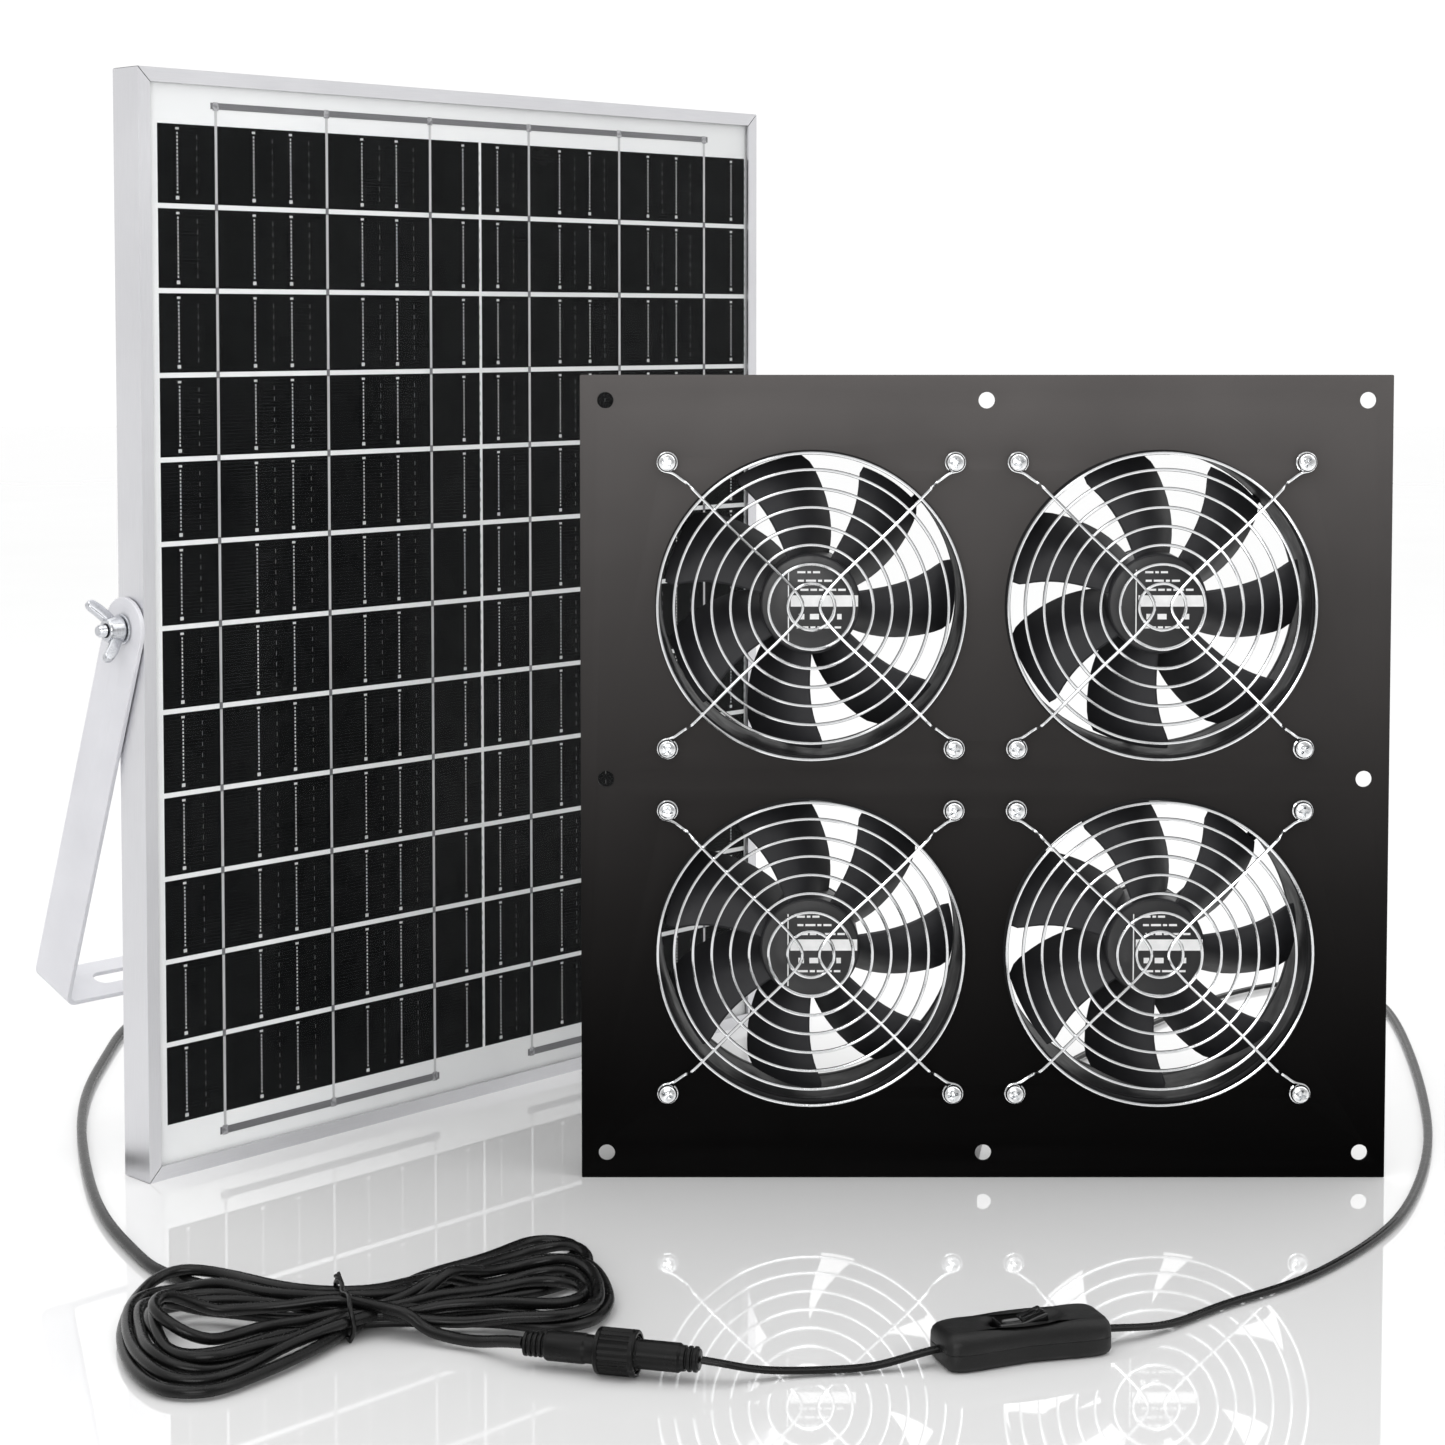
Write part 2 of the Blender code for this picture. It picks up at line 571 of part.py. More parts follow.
def build_rail(name, corner, along, inward, length, material, panel):
    """One mitred rail: its section runs along its length, 45 degrees at each end."""
    corner, along, inward = Vector(corner), Vector(along), Vector(inward)
    bm = bmesh.new()
    ends = []
    for far in (False, True):
        row = []
        for across, back in RAIL_SECTION:
            reach = across * MM + MITRE_GAP
            distance = length - reach if far else reach
            point = corner + along * distance + inward * across * MM + Vector((0, back * MM, 0))
            row.append(bm.verts.new(point))
        ends.append(row)
    near, far = ends
    bm.faces.new(near)
    bm.faces.new(reversed(far))
    for i, _ in enumerate(near):
        j = (i + 1) % len(near)
        bm.faces.new((near[i], near[j], far[j], far[i]))
    rail = add_mesh(name, bm)
    rail.parent = panel
    return finish(rail, material)


def cut_pivot_hole(rail):
    """Cut the bolt's hole through a side rail's outer wall."""
    middle = PANEL_WIDTH / 2
    bm = bmesh.new()
    side = -1 if rail.name == "rail_left" else 1
    prism(bm, circle((0, 0), BOLT_R + GAP, 10), -2.5 * MM, 2.5 * MM)
    bm.transform(Matrix.Translation((middle + side * middle, PIVOT_DEPTH, PIVOT_HEIGHT))
                 @ Matrix.Rotation(math.pi / 2, 4, "Y"))
    tool = add_mesh("pivot_hole", bm)
    tool.parent = rail.parent
    bpy.context.view_layer.update()
    boolean(rail, tool, "DIFFERENCE")


def build_panel(materials, panel):
    right, up = (1, 0, 0), (0, 0, 1)
    silver = materials["panel_frame"]
    left_rail = build_rail("rail_left", (0, 0, 0), up, right, PANEL_HEIGHT, silver, panel)
    right_rail = build_rail("rail_right", (PANEL_WIDTH, 0, 0), up, (-1, 0, 0), PANEL_HEIGHT, silver, panel)
    build_rail("rail_bottom", (0, 0, 0), right, up, PANEL_WIDTH, silver, panel)
    build_rail("rail_top", (0, 0, PANEL_HEIGHT), right, (0, 0, -1), PANEL_WIDTH, silver, panel)
    cut_pivot_hole(left_rail)
    cut_pivot_hole(right_rail)
    panes = (("panel_glass", GLASS_FRONT, GLASS_BACK, "glass"),
             ("cell_laminate", LAMINATE_FRONT, LAMINATE_BACK, "cells"))
    for name, front, back, slot in panes:
        bm = bmesh.new()
        block(bm, (PANE_INSET, front, PANE_INSET), (PANEL_WIDTH - PANE_INSET, back, PANEL_HEIGHT - PANE_INSET))
        pane = finish(add_mesh(name, bm), materials[slot])
        pane.parent = panel


def build_junction_box(materials, panel):
    """A shallow box on the laminate's back, its lid, and the gland under it."""
    middle, half = PANEL_WIDTH / 2, BOX_WIDTH / 2
    front = LAMINATE_BACK + GAP
    top = BOX_BOTTOM + BOX_HEIGHT
    bm = bmesh.new()
    block(bm, (middle - half, front, BOX_BOTTOM), (middle + half, BOX_BACK, top))
    box = add_mesh("junction_box", bm)
    bm = bmesh.new()
    block(bm, (middle - half + BOX_WALL, front + BOX_WALL, BOX_BOTTOM + BOX_WALL),
          (middle + half - BOX_WALL, BOX_BACK + MM, top - BOX_WALL))
    boolean(box, add_mesh("box_hollow", bm), "DIFFERENCE")
    bm = bmesh.new()
    block(bm, (middle - half, BOX_BACK + GAP, BOX_BOTTOM), (middle + half, BOX_BACK + GAP + LID_THICK, top))
    lid = add_mesh("junction_box_lid", bm)
    bm = bmesh.new()
    high = BOX_BOTTOM - GAP
    low = high - GLAND_LENGTH
    lathe(bm, ((0, low), (GLAND_R - 1.4 * MM, low), (GLAND_R - 0.6 * MM, low + 7 * MM),
               (GLAND_R, low + 7 * MM), (GLAND_R, high), (0, high)), 12)
    bm.transform(Matrix.Translation((middle, GLAND_DEPTH, 0)))
    gland = add_mesh("cable_gland", bm)
    for piece, smooth in ((box, False), (lid, False), (gland, True)):
        finish(piece, materials["box_plastic"], smooth)
        piece.parent = panel


# ---------------------------------------------------------------- stand

def fold_strap(distance, offset):
    """Place of a point of the flat strap once it is bent into a U: (x, z)."""
    line = PANEL_WIDTH / 2 + ARM_CLEARANCE + STRAP_THICK / 2
    bottom = -(ARM_LENGTH - STRAP_THICK / 2)
    half, bend = line - BEND_R, BEND_R * math.pi / 2
    side, run = math.copysign(1, distance), abs(distance)
    if run <= half:
        return side * run, bottom - offset
    if run < half + bend:
        angle = (run - half) / BEND_R
        reach = BEND_R + offset
        return side * (half + reach * math.sin(angle)), bottom + BEND_R - reach * math.cos(angle)
    return side * (line + offset), bottom + BEND_R + run - half - bend


def build_bracket(material, panel):
    """A flat strap with round ends, cut and then bent twice into a U."""
    line = PANEL_WIDTH / 2 + ARM_CLEARANCE + STRAP_THICK / 2
    half, bend = line - BEND_R, BEND_R * math.pi / 2
    pivot = half + bend + ARM_LENGTH - STRAP_THICK / 2 - BEND_R
    width = STRAP_WIDTH / 2
    outline = []
    for side in (1, -1):
        for step in range(7):
            angle = math.radians(-90 + 30 * step)
            outline.append((side * (pivot + width * math.cos(angle)), side * width * math.sin(angle)))
    bm = bmesh.new()
    prism(bm, outline, -STRAP_THICK / 2, STRAP_THICK / 2)
    strap = add_mesh("stand_bracket", bm)
    cut_round_holes(strap, [(pivot, 0), (-pivot, 0)], BOLT_R + GAP, 10, -5 * MM, 5 * MM)
    slot_outline = rounded_rectangle(SLOT_LENGTH / 2, SLOT_WIDTH / 2, SLOT_WIDTH / 2 - 0.01 * MM, 3)
    for place in (-SLOT_PLACE, SLOT_PLACE):
        bm = bmesh.new()
        prism(bm, [(x + place, y) for x, y in slot_outline], -5 * MM, 5 * MM)
        boolean(strap, add_mesh("slot_tool", bm), "DIFFERENCE")
    bm = bmesh.new()
    bm.from_mesh(strap.data)
    for side in (-1, 1):
        for step in range(4):
            place = side * (half + bend * step / 3)
            geometry = bm.verts[:] + bm.edges[:] + bm.faces[:]
            bmesh.ops.bisect_plane(bm, geom=geometry, dist=1e-7, plane_co=(place, 0, 0), plane_no=(1, 0, 0))
    for vert in bm.verts:
        x, z = fold_strap(vert.co.x, -vert.co.z)
        vert.co = (x, vert.co.y, z)
    bmesh.ops.recalc_face_normals(bm, faces=bm.faces)
    bm.to_mesh(strap.data)
    bm.free()
    strap.parent = panel
    strap.location = (PANEL_WIDTH / 2, PIVOT_DEPTH, PIVOT_HEIGHT)
    strap.rotation_euler = (BRACKET_TILT, 0, 0)
    return finish(strap, material)


def place_on_pivot(obj, side, panel, turn=0.0):
    """Put a piece built along Z on the pivot axis so that its z points out of that side."""
    obj.parent = panel
    obj.location = (PANEL_WIDTH / 2 * (1 + side), PIVOT_DEPTH, PIVOT_HEIGHT)
    tilt = Matrix.Rotation(side * math.pi / 2, 3, "Y")
    obj.rotation_euler = (Matrix.Rotation(turn, 3, "X") @ tilt).to_euler()
    return obj


def wing_nut_mesh():
    """Round hub with a bore and two wings that lean outwards."""
    low, high = WING_NUT_LOW, WING_NUT_LOW + WING_NUT_HEIGHT
    bore = BOLT_R + GAP
    bm = bmesh.new()
    lathe(bm, ((bore, low), (5.4 * MM, low), (4.4 * MM, high), (bore, high)), 12, closed=True)
    nut = add_mesh("wing_nut_stock", bm)
    for side in (-1, 1):
        bm = bmesh.new()
        outline = [(side * x * MM, low + y * MM) for x, y in WING_OUTLINE]
        prism(bm, outline, -WING_HALF_THICK, WING_HALF_THICK)
        bm.transform(Matrix.Rotation(math.pi / 2, 4, "X"))
        boolean(nut, add_mesh("wing", bm), "UNION")
    return nut


def build_pivots(materials, panel):
    wing_nut = wing_nut_mesh()
    inside = -(RAIL_WALL + GAP)
    for side, name in ((-1, "left"), (1, "right")):
        bm = bmesh.new()
        lathe(bm, ((0, inside - 3.2 * MM), (BOLT_HEAD_R - MM, inside - 3.2 * MM),
                   (BOLT_HEAD_R, inside - 2 * MM), (BOLT_HEAD_R, inside), (BOLT_R, inside),
                   (BOLT_R, BOLT_END), (0, BOLT_END)), 10)
        bolt = finish(add_mesh(f"pivot_bolt_{name}", bm), materials["plated_steel"], True)
        place_on_pivot(bolt, side, panel)
        nut = add_object(f"wing_nut_{name}", wing_nut.data.copy())
        finish(nut, materials["plated_steel"], True)
        place_on_pivot(nut, side, panel, math.pi - WING_TURN)
    bpy.data.objects.remove(wing_nut, do_unlink=True)


# ---------------------------------------------------------------- lead set

def build_connector(materials):
    """Plug half, coupling ring and socket half of a round screwed connector, along the frame's x."""
    frame = add_frame("connector_frame", CONNECTOR_PLACE, CONNECTOR_YAW)
    shapes = (
        ("male_connector", MALE_PROFILE, False),
        ("coupling_ring", RING_PROFILE, True),
        ("female_connector", FEMALE_PROFILE, False),
    )
    for name, profile, closed in shapes:
        bm = bmesh.new()
        lathe(bm, [(radius * MM, z * MM) for radius, z in profile], 14, closed)
        bm.transform(Matrix.Rotation(math.pi / 2, 4, "Y"))
        piece = finish(add_mesh(name, bm), materials["connector"], True)
        piece.parent = frame


def switch_outline(inset):
    """The switch's waisted outline with round corners, set in by an amount."""
    corners = rounded_rectangle(SWITCH_HALF - inset, SWITCH_HALF_WIDTH - inset, 4 * MM - inset / 2, 3)
    long_side = SWITCH_HALF_WIDTH - inset - SWITCH_WAIST
    top = [(x * SWITCH_HALF / 3, long_side) for x in (1, 0, -1)]
    bottom = [(x * SWITCH_HALF / 3, -long_side) for x in (-1, 0, 1)]
    return corners[:4] + top + corners[4:12] + bottom + corners[12:]


def build_switch(materials):
    frame = add_frame("switch_frame", SWITCH_PLACE, SWITCH_YAW)
    shells = (
        ("switch_base", 0, SWITCH_SPLIT, SWITCH_WALL, SWITCH_SPLIT + MM),
        ("switch_cover", SWITCH_SPLIT + GAP, SWITCH_TOP, SWITCH_SPLIT - MM, SWITCH_TOP - SWITCH_WALL),
    )
    for name, low, high, hollow_low, hollow_high in shells:
        bm = bmesh.new()
        prism(bm, switch_outline(0), low, high)
        shell = add_mesh(name, bm)
        bm = bmesh.new()
        prism(bm, switch_outline(SWITCH_WALL), hollow_low, hollow_high)
        boolean(shell, add_mesh("shell_hollow", bm), "DIFFERENCE")
        if name == "switch_cover":
            bm = bmesh.new()
            half_x, half_y = ROCKER_WINDOW
            block(bm, (-half_x, -half_y, SWITCH_TOP - 4 * MM), (half_x, half_y, SWITCH_TOP + 2 * MM))
            boolean(shell, add_mesh("rocker_window", bm), "DIFFERENCE")
        finish(shell, materials["switch"])
        shell.parent = frame
    end = ROCKER_RISE + ROCKER_HALF * math.tan(ROCKER_TILT)
    outline = ((-ROCKER_HALF, -ROCKER_DROP), (ROCKER_HALF, -ROCKER_DROP), (ROCKER_HALF, end),
               (0, ROCKER_RISE), (-ROCKER_HALF, end))
    bm = bmesh.new()
    prism(bm, outline, -ROCKER_HALF_WIDTH, ROCKER_HALF_WIDTH)
    bm.transform(Matrix.Rotation(math.pi / 2, 4, "X"))
    rocker = finish(add_mesh("rocker", bm), materials["rocker"])
    rocker.parent = frame
    rocker.location = (0, 0, ROCKER_AXIS_HEIGHT)
    rocker.rotation_euler = (0, -ROCKER_TILT, 0)


def build_hank(materials):
    """The tied hank's outer shape, with a groove under its waist for the tie."""
    frame = add_frame("hank_frame", HANK_PLACE, HANK_YAW)
    outline = []
    for step in range(28):
        angle = 2 * math.pi * step / 28
        across = math.cos(angle)
        reach, lobe = HANK_RIGHT if across > 0 else HANK_LEFT
        outline.append((reach * across, (HANK_WAIST + lobe * across ** 2) * math.sin(angle)))
    bm = bmesh.new()
    prism(bm, outline, 0, HANK_HEIGHT)
    hank = add_mesh("lead_hank", bm)
    bm = bmesh.new()
    block(bm, (-1.6 * MM, -30 * MM, -2 * MM), (1.6 * MM, 30 * MM, 2.3 * MM))
    boolean(hank, add_mesh("tie_groove", bm), "DIFFERENCE")
    finish(hank, materials["lead"])
    hank.parent = frame
    reach = HANK_WAIST + TIE_R + GAP
    low, high = TIE_R + 0.1 * MM, HANK_HEIGHT + TIE_R + GAP
    middle, half = (low + high) / 2, (high - low) / 2
    loop = [(0, y, middle + z) for y, z in rounded_rectangle(reach + MM, half, 2 * MM, 2)]
    bm = bmesh.new()
    sweep(bm, loop, TIE_R, 6, closed=True)
    tie = finish(add_mesh("hank_tie", bm), materials["lead"], True)
    tie.parent = frame


def build_leads(materials):
    lead = materials["lead"]
    add_lead("panel_lead", PANEL_LEAD_ROUTE, PANEL_LEAD_D, 12 * MM, lead)
    add_lead("lead_tail", TAIL_ROUTE, PANEL_LEAD_D, 8 * MM, lead)
    add_lead("fan_lead_in", FAN_LEAD_IN_ROUTE, FAN_LEAD_D, 8 * MM, lead)
    add_lead("fan_lead_out", FAN_LEAD_OUT_ROUTE, FAN_LEAD_D, 14 * MM, lead)


def main():
    clear_scene()
    materials = {
        "plate": make_material("plate", (0.022, 0.021, 0.021), 0.35, 0.1),
        "fan_frame": make_material("fan_frame", (0.03, 0.03, 0.032), 0.5),
        "impeller": make_material("impeller", (0.035, 0.036, 0.04), 0.45),
        "motor": make_material("motor", (0.35, 0.3, 0.26), 0.5, 0.6),
        "guard_wire": make_material("guard_wire", (0.8, 0.81, 0.83), 0.15, 1.0),
        "screw": make_material("screw", (0.78, 0.79, 0.81), 0.2, 1.0),
        "panel_frame": make_material("panel_frame", (0.74, 0.75, 0.78), 0.35, 1.0),
        "glass": make_material("glass", (0.8, 0.85, 0.85), 0.05),
        "cells": make_material("cells", (0.012, 0.012, 0.016), 0.3),
        "box_plastic": make_material("box_plastic", (0.02, 0.02, 0.02), 0.5),
        "stand": make_material("stand", (0.72, 0.72, 0.74), 0.45, 0.3),
        "plated_steel": make_material("plated_steel", (0.7, 0.71, 0.74), 0.25, 1.0),
        "lead": make_material("lead", (0.015, 0.015, 0.015), 0.45),
        "connector": make_material("connector", (0.018, 0.018, 0.018), 0.4),
        "switch": make_material("switch", (0.02, 0.02, 0.02), 0.55),
        "rocker": make_material("rocker", (0.012, 0.012, 0.012), 0.3),
    }
    build_plate(materials["plate"])
    build_fans(materials)
    build_harness(materials["lead"])
    panel = add_frame("panel_frame_axes", PANEL_PLACE, PANEL_YAW)
    build_panel(materials, panel)
    build_junction_box(materials, panel)
    build_bracket(materials["stand"], panel)
    build_pivots(materials, panel)
    build_connector(materials)
    build_switch(materials)
    build_hank(materials)
    build_leads(materials)


main()
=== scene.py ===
from math import atan2, copysign, cos, exp, pi, radians, sin

import bmesh
import bpy
import numpy as np
from mathutils import Matrix, Vector


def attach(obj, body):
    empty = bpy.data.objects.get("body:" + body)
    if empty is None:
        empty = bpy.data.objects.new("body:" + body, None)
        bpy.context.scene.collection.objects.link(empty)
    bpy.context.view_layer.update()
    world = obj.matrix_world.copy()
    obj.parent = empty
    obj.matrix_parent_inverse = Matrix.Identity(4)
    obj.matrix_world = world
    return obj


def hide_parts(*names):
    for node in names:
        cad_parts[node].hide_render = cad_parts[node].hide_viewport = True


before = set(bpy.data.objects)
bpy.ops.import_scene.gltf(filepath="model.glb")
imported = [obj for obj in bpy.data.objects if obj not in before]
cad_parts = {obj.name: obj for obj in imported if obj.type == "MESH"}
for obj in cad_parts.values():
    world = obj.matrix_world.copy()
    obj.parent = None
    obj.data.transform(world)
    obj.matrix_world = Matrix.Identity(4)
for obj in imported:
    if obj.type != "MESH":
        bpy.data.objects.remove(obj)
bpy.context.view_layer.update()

MM = 0.001
UNIT = Matrix.Scale(MM, 4)


def turn(degrees, axis):
    return Matrix.Rotation(radians(degrees), 4, axis)


def shift(x, y, z):
    return Matrix.Translation((x, y, z))


def link(obj):
    bpy.context.scene.collection.objects.link(obj)
    return obj


# ---- places, as in the CAD
FRONT = turn(90, "X")  # x stays, y goes up, z comes out of the front
FAN_CENTRES = ((-69, 229), (69, 229), (-69, 91), (69, 91))
SCREW_OFFSET = 56.65
PANEL_WIDTH, PANEL_HEIGHT = 350, 440
PANEL_YAW = 46.03
PANEL = shift(-330.6, -9.2, 0) @ turn(PANEL_YAW, "Z")
PIVOT_DEPTH, PIVOT_HEIGHT = 10.8, 220
BRACKET = PANEL @ shift(PANEL_WIDTH / 2, PIVOT_DEPTH, PIVOT_HEIGHT) @ turn(20, "X")
WING_TURN = 31
CONNECTOR = shift(-168.4, -199.7, 7.6) @ turn(-14.5, "Z") @ turn(90, "Y")
SWITCH = shift(-5.4, -190.5, 0) @ turn(18, "Z")
HANK = shift(-232.1, -169.1, 0) @ turn(21, "Z")

PANEL_LEAD_D = 4
TIGHTEST_FOLD = 13
FAN_LEAD_R, FAN_LEAD_SPREAD = 0.95, 0.85
LEAD_EXIT = (-216.5, 123.8, 33.1)
PANEL_LEAD_ROUTE = (
    LEAD_EXIT, (-216.6, 123.9, 27), (-218.8, 126.1, 19.5), (-224, 130.6, 12.5),
    (-232.5, 137.5, 6.2), (-245, 147.5, 2.6), (-262, 162, 2.2), (-285, 185, 2.2),
    (-308, 213, 2.2), (-333, 242, 2.2), (-359, 260, 2.2), (-381, 254, 2.2),
    (-390.5, 225, 2.2), (-389.3, 180.3, 2.2), (-386.2, 136.2, 2.2), (-379.7, 88.9, 2.2),
    (-370.3, 46.5, 2.2), (-357.9, 1.8, 2.2), (-346.1, -34.8, 2.2), (-332.6, -67.8, 2.2),
    (-318, -95.6, 2.2), (-305.5, -115, 2.2),
)
TAIL_ROUTE = (
    (-205.5, -179, 6.2), (-197.6, -182.8, 4), (-184.5, -188.4, 3.8), (-176, -194.6, 6.2),
    (-168.8, -199.6, 7.6),
)
FAN_LEAD_ROUTE = (
    (0, 42.5, 29.7), (0, 43, 22), (1.2, 51, 11), (6, 69, 4.2), (18, 98, 2),
    (45, 148, 1.8), (82, 205, 1.8), (123, 260, 1.8), (162, 302, 1.8),
    (194, 315, 1.8), (218, 295, 1.8), (224, 252.7, 1.8), (218.8, 203.6, 1.8),
    (211.2, 152.8, 1.8), (202.2, 102.7, 1.8), (192.8, 59.3, 1.8), (180.3, 14.9, 1.8),
    (167, -22.5, 1.8), (150.6, -58.6, 1.8), (124.3, -97.8, 1.8), (92.5, -131.1, 1.8),
    (67.7, -149.9, 1.8), (45, -170, 2.6), (31, -178.5, 4.8), (23, -181.3, 5.5),
    (-5.4, -190.5, 5.5), (-33.8, -199.8, 5.5), (-43, -202.8, 4.2), (-54, -205.8, 2.4),
    (-68, -207.8, 1.8), (-82, -210, 2.3), (-94.5, -213.7, 4.4), (-104, -215.6, 6.8),
    (-110.6, -214.7, 7.6),
)


# ---- procedural materials
def grey(value):
    return (value, value, value)


class Look:
    """One procedural material: noise-driven colour, roughness and relief on a Principled shader."""

    def __init__(self, name, rotate=0.0, **sockets):
        self.material = bpy.data.materials.new(name)
        self.material.use_nodes = True
        self.tree = self.material.node_tree
        self.shader = self.tree.nodes["Principled BSDF"]
        for key, value in sockets.items():
            self.shader.inputs[key.replace("_", " ")].default_value = value
        where = self.node("ShaderNodeTexCoord").outputs["Object"]
        if rotate:
            spin = (0, 0, radians(-rotate))
            where = self.node("ShaderNodeMapping", {"Vector": where, "Rotation": spin}).outputs["Vector"]
        self.where = where

    def node(self, kind, inputs=None, **properties):
        item = self.tree.nodes.new(kind)
        for key, value in properties.items():
            setattr(item, key, value)
        for key, value in (inputs or {}).items():
            if isinstance(value, bpy.types.NodeSocket):
                self.tree.links.new(value, item.inputs[key])
            else:
                item.inputs[key].default_value = value
        return item

    def stretched(self, scale):
        return self.node("ShaderNodeMapping", {"Vector": self.where, "Scale": scale}).outputs["Vector"]

    def noise(self, scale, detail=3.0, stretch=None, rough=0.5):
        inputs = {"Scale": scale, "Detail": detail, "Roughness": rough}
        inputs["Vector"] = self.stretched(stretch) if stretch else self.where
        return self.node("ShaderNodeTexNoise", inputs).outputs["Fac"]

    def remap(self, value, low, high, start=0.3, stop=0.7):
        item = self.node("ShaderNodeMapRange", {"Value": value, "From Min": start, "From Max": stop,
                                                "To Min": low, "To Max": high})
        return item.outputs["Result"]

    def maths(self, operation, first, second=0.0, third=0.0):
        item = self.node("ShaderNodeMath", operation=operation)
        for socket, value in zip(item.inputs, (first, second, third)):
            if isinstance(value, bpy.types.NodeSocket):
                self.tree.links.new(value, socket)
            else:
                socket.default_value = value
        return item.outputs[0]

    def mix(self, factor, first, second):
        item = self.node("ShaderNodeMix", data_type="RGBA")
        for socket, value in ((item.inputs[0], factor), (item.inputs[6], first), (item.inputs[7], second)):
            if isinstance(value, bpy.types.NodeSocket):
                self.tree.links.new(value, socket)
            elif isinstance(value, tuple):
                socket.default_value = (*value, 1.0)
            else:
                socket.default_value = value
        return item.outputs[2]

    def bump(self, height, distance, strength=1.0, under=None):
        """Relief of the given height in metres, on top of another relief if there is one."""
        inputs = {"Height": height, "Distance": distance, "Strength": strength}
        if under is not None:
            inputs["Normal"] = under
        return self.node("ShaderNodeBump", inputs).outputs["Normal"]

    def wire(self, **sockets):
        for key, value in sockets.items():
            self.tree.links.new(value, self.shader.inputs[key.replace("_", " ")])
        return self.material


def plain_surface(name, dark, light, rough, patch=60, grain=900, relief=0.00004, metallic=0.0,
                  stretch=None, rotate=0.0, **sockets):
    """A material whose colour drifts between two shades in patches, with fine grain in its relief."""
    look = Look(name, rotate, Metallic=metallic, **sockets)
    colour = look.mix(look.remap(look.noise(patch, 4, stretch), 0, 1), dark, light)
    roughness = look.remap(look.noise(patch * 2.3, 5, stretch, 0.6), *rough)
    fine = look.noise(grain, 2, stretch)
    normal = look.bump(fine, relief, 0.6, look.bump(look.noise(patch * 0.9, 2, stretch), relief * 4, 0.3))
    return look.wire(Base_Color=colour, Roughness=roughness, Normal=normal)


def plate_paint():
    """Semi-gloss black coating with a faint orange peel, and painted light that makes its colour lighter
    towards its top.
    """
    look = Look("black_coating", Specular_IOR_Level=0.03)
    height = look.node("ShaderNodeSeparateXYZ", {"Vector": look.where}).outputs["Z"]
    # painted light: the colour lightens with height, standing in for light falling on the plate's top; a
    # random drift varies it
    painted_top_light = look.maths("POWER", look.remap(height, 0, 1, 0.0, 0.32), 2.0)
    drift = look.remap(look.noise(14, 3), 0.92, 1.08)
    painted_light_tone = look.mix(look.maths("MULTIPLY", painted_top_light, drift), (0.0004, 0.0003, 0.0003), (0.092, 0.086, 0.084))
    speck = look.remap(look.noise(1800, 1), 0, 1, 0.74, 0.82)
    colour = look.mix(look.maths("MULTIPLY", speck, 0.05), painted_light_tone, (0.14, 0.14, 0.14))
    normal = look.bump(look.noise(420, 2), 0.00003, 0.35)
    return look.wire(Base_Color=colour, Roughness=look.remap(look.noise(35, 4), 0.4, 0.5), Normal=normal)


def brushed_metal(name, dark, light, rough, along, rotate=0.0, metallic=1.0):
    """Drawn metal with hair lines along one axis."""
    stretch = tuple(0.03 if axis == along else 1.0 for axis in "xyz")
    look = Look(name, rotate, Metallic=metallic)
    lines = look.noise(2600, 3, stretch)
    cloud = look.noise(18, 3)
    colour = look.mix(look.remap(look.maths("ADD", look.maths("MULTIPLY", lines, 0.5),
                                            look.maths("MULTIPLY", cloud, 0.5)), 0, 1), dark, light)
    return look.wire(Base_Color=colour, Roughness=look.remap(lines, *rough),
                     Normal=look.bump(lines, 0.00001, 0.5))


def cell_silicon():
    """Near-black silicon with the fine printed fingers that run across each cell."""
    look = Look("silicon", PANEL_YAW, Specular_IOR_Level=0.03)
    height = look.node("ShaderNodeSeparateXYZ", {"Vector": look.where}).outputs["Z"]
    phase = look.maths("FRACT", look.maths("DIVIDE", height, 0.00145))
    finger = look.maths("LESS_THAN", phase, 0.16)
    fade = look.remap(look.noise(45, 3), 0.25, 1.0)
    base = look.mix(look.remap(look.noise(9, 4), 0, 1), (0.0012, 0.0012, 0.0013), (0.0026, 0.0025, 0.0028))
    colour = look.mix(look.maths("MULTIPLY", finger, fade), base, (0.020, 0.020, 0.021))
    return look.wire(Base_Color=colour, Roughness=look.remap(look.noise(80, 3), 0.22, 0.34),
                     Normal=look.bump(finger, 0.00001, 0.3))


def backsheet():
    """White laminate: a soft woven film seen through the glass."""
    look = Look("backsheet", PANEL_YAW, Specular_IOR_Level=0.2)
    colour = look.mix(look.remap(look.noise(30, 4), 0, 1), (0.90, 0.91, 0.92), (0.95, 0.96, 0.96))
    weave = look.maths("MULTIPLY", look.noise(1500, 1, (1, 1, 0.1)), look.noise(1500, 1, (0.1, 1, 1)))
    return look.wire(Base_Color=colour, Roughness=look.remap(weave, 0.35, 0.5, 0.1, 0.4),
                     Normal=look.bump(weave, 0.00002, 0.4))


def panel_glass():
    """Low-iron tempered glass: nearly invisible, with a faint pebbled gloss."""
    look = Look("tempered_glass", IOR=1.5, Alpha=0.06, Specular_IOR_Level=0.5)
    colour = look.mix(look.remap(look.noise(25, 2), 0, 1), (0.010, 0.014, 0.014), (0.018, 0.022, 0.022))
    return look.wire(Base_Color=colour, Roughness=look.remap(look.noise(200, 3), 0.05, 0.12),
                     Normal=look.bump(look.noise(700, 1), 0.00001, 0.2))


def moulded(name, dark, light, rough, texture=1400, relief=0.00005, **sockets):
    """Moulded black plastic with a spark-eroded texture and slight flow marks."""
    look = Look(name, **sockets)
    cells = look.node("ShaderNodeTexVoronoi", {"Vector": look.where, "Scale": texture}).outputs["Distance"]
    flow = look.noise(22, 4, None, 0.65)
    colour = look.mix(look.remap(flow, 0, 1), dark, light)
    normal = look.bump(cells, relief, 0.5, look.bump(flow, relief * 3, 0.2))
    return look.wire(Base_Color=colour, Roughness=look.remap(look.noise(130, 3), *rough), Normal=normal)


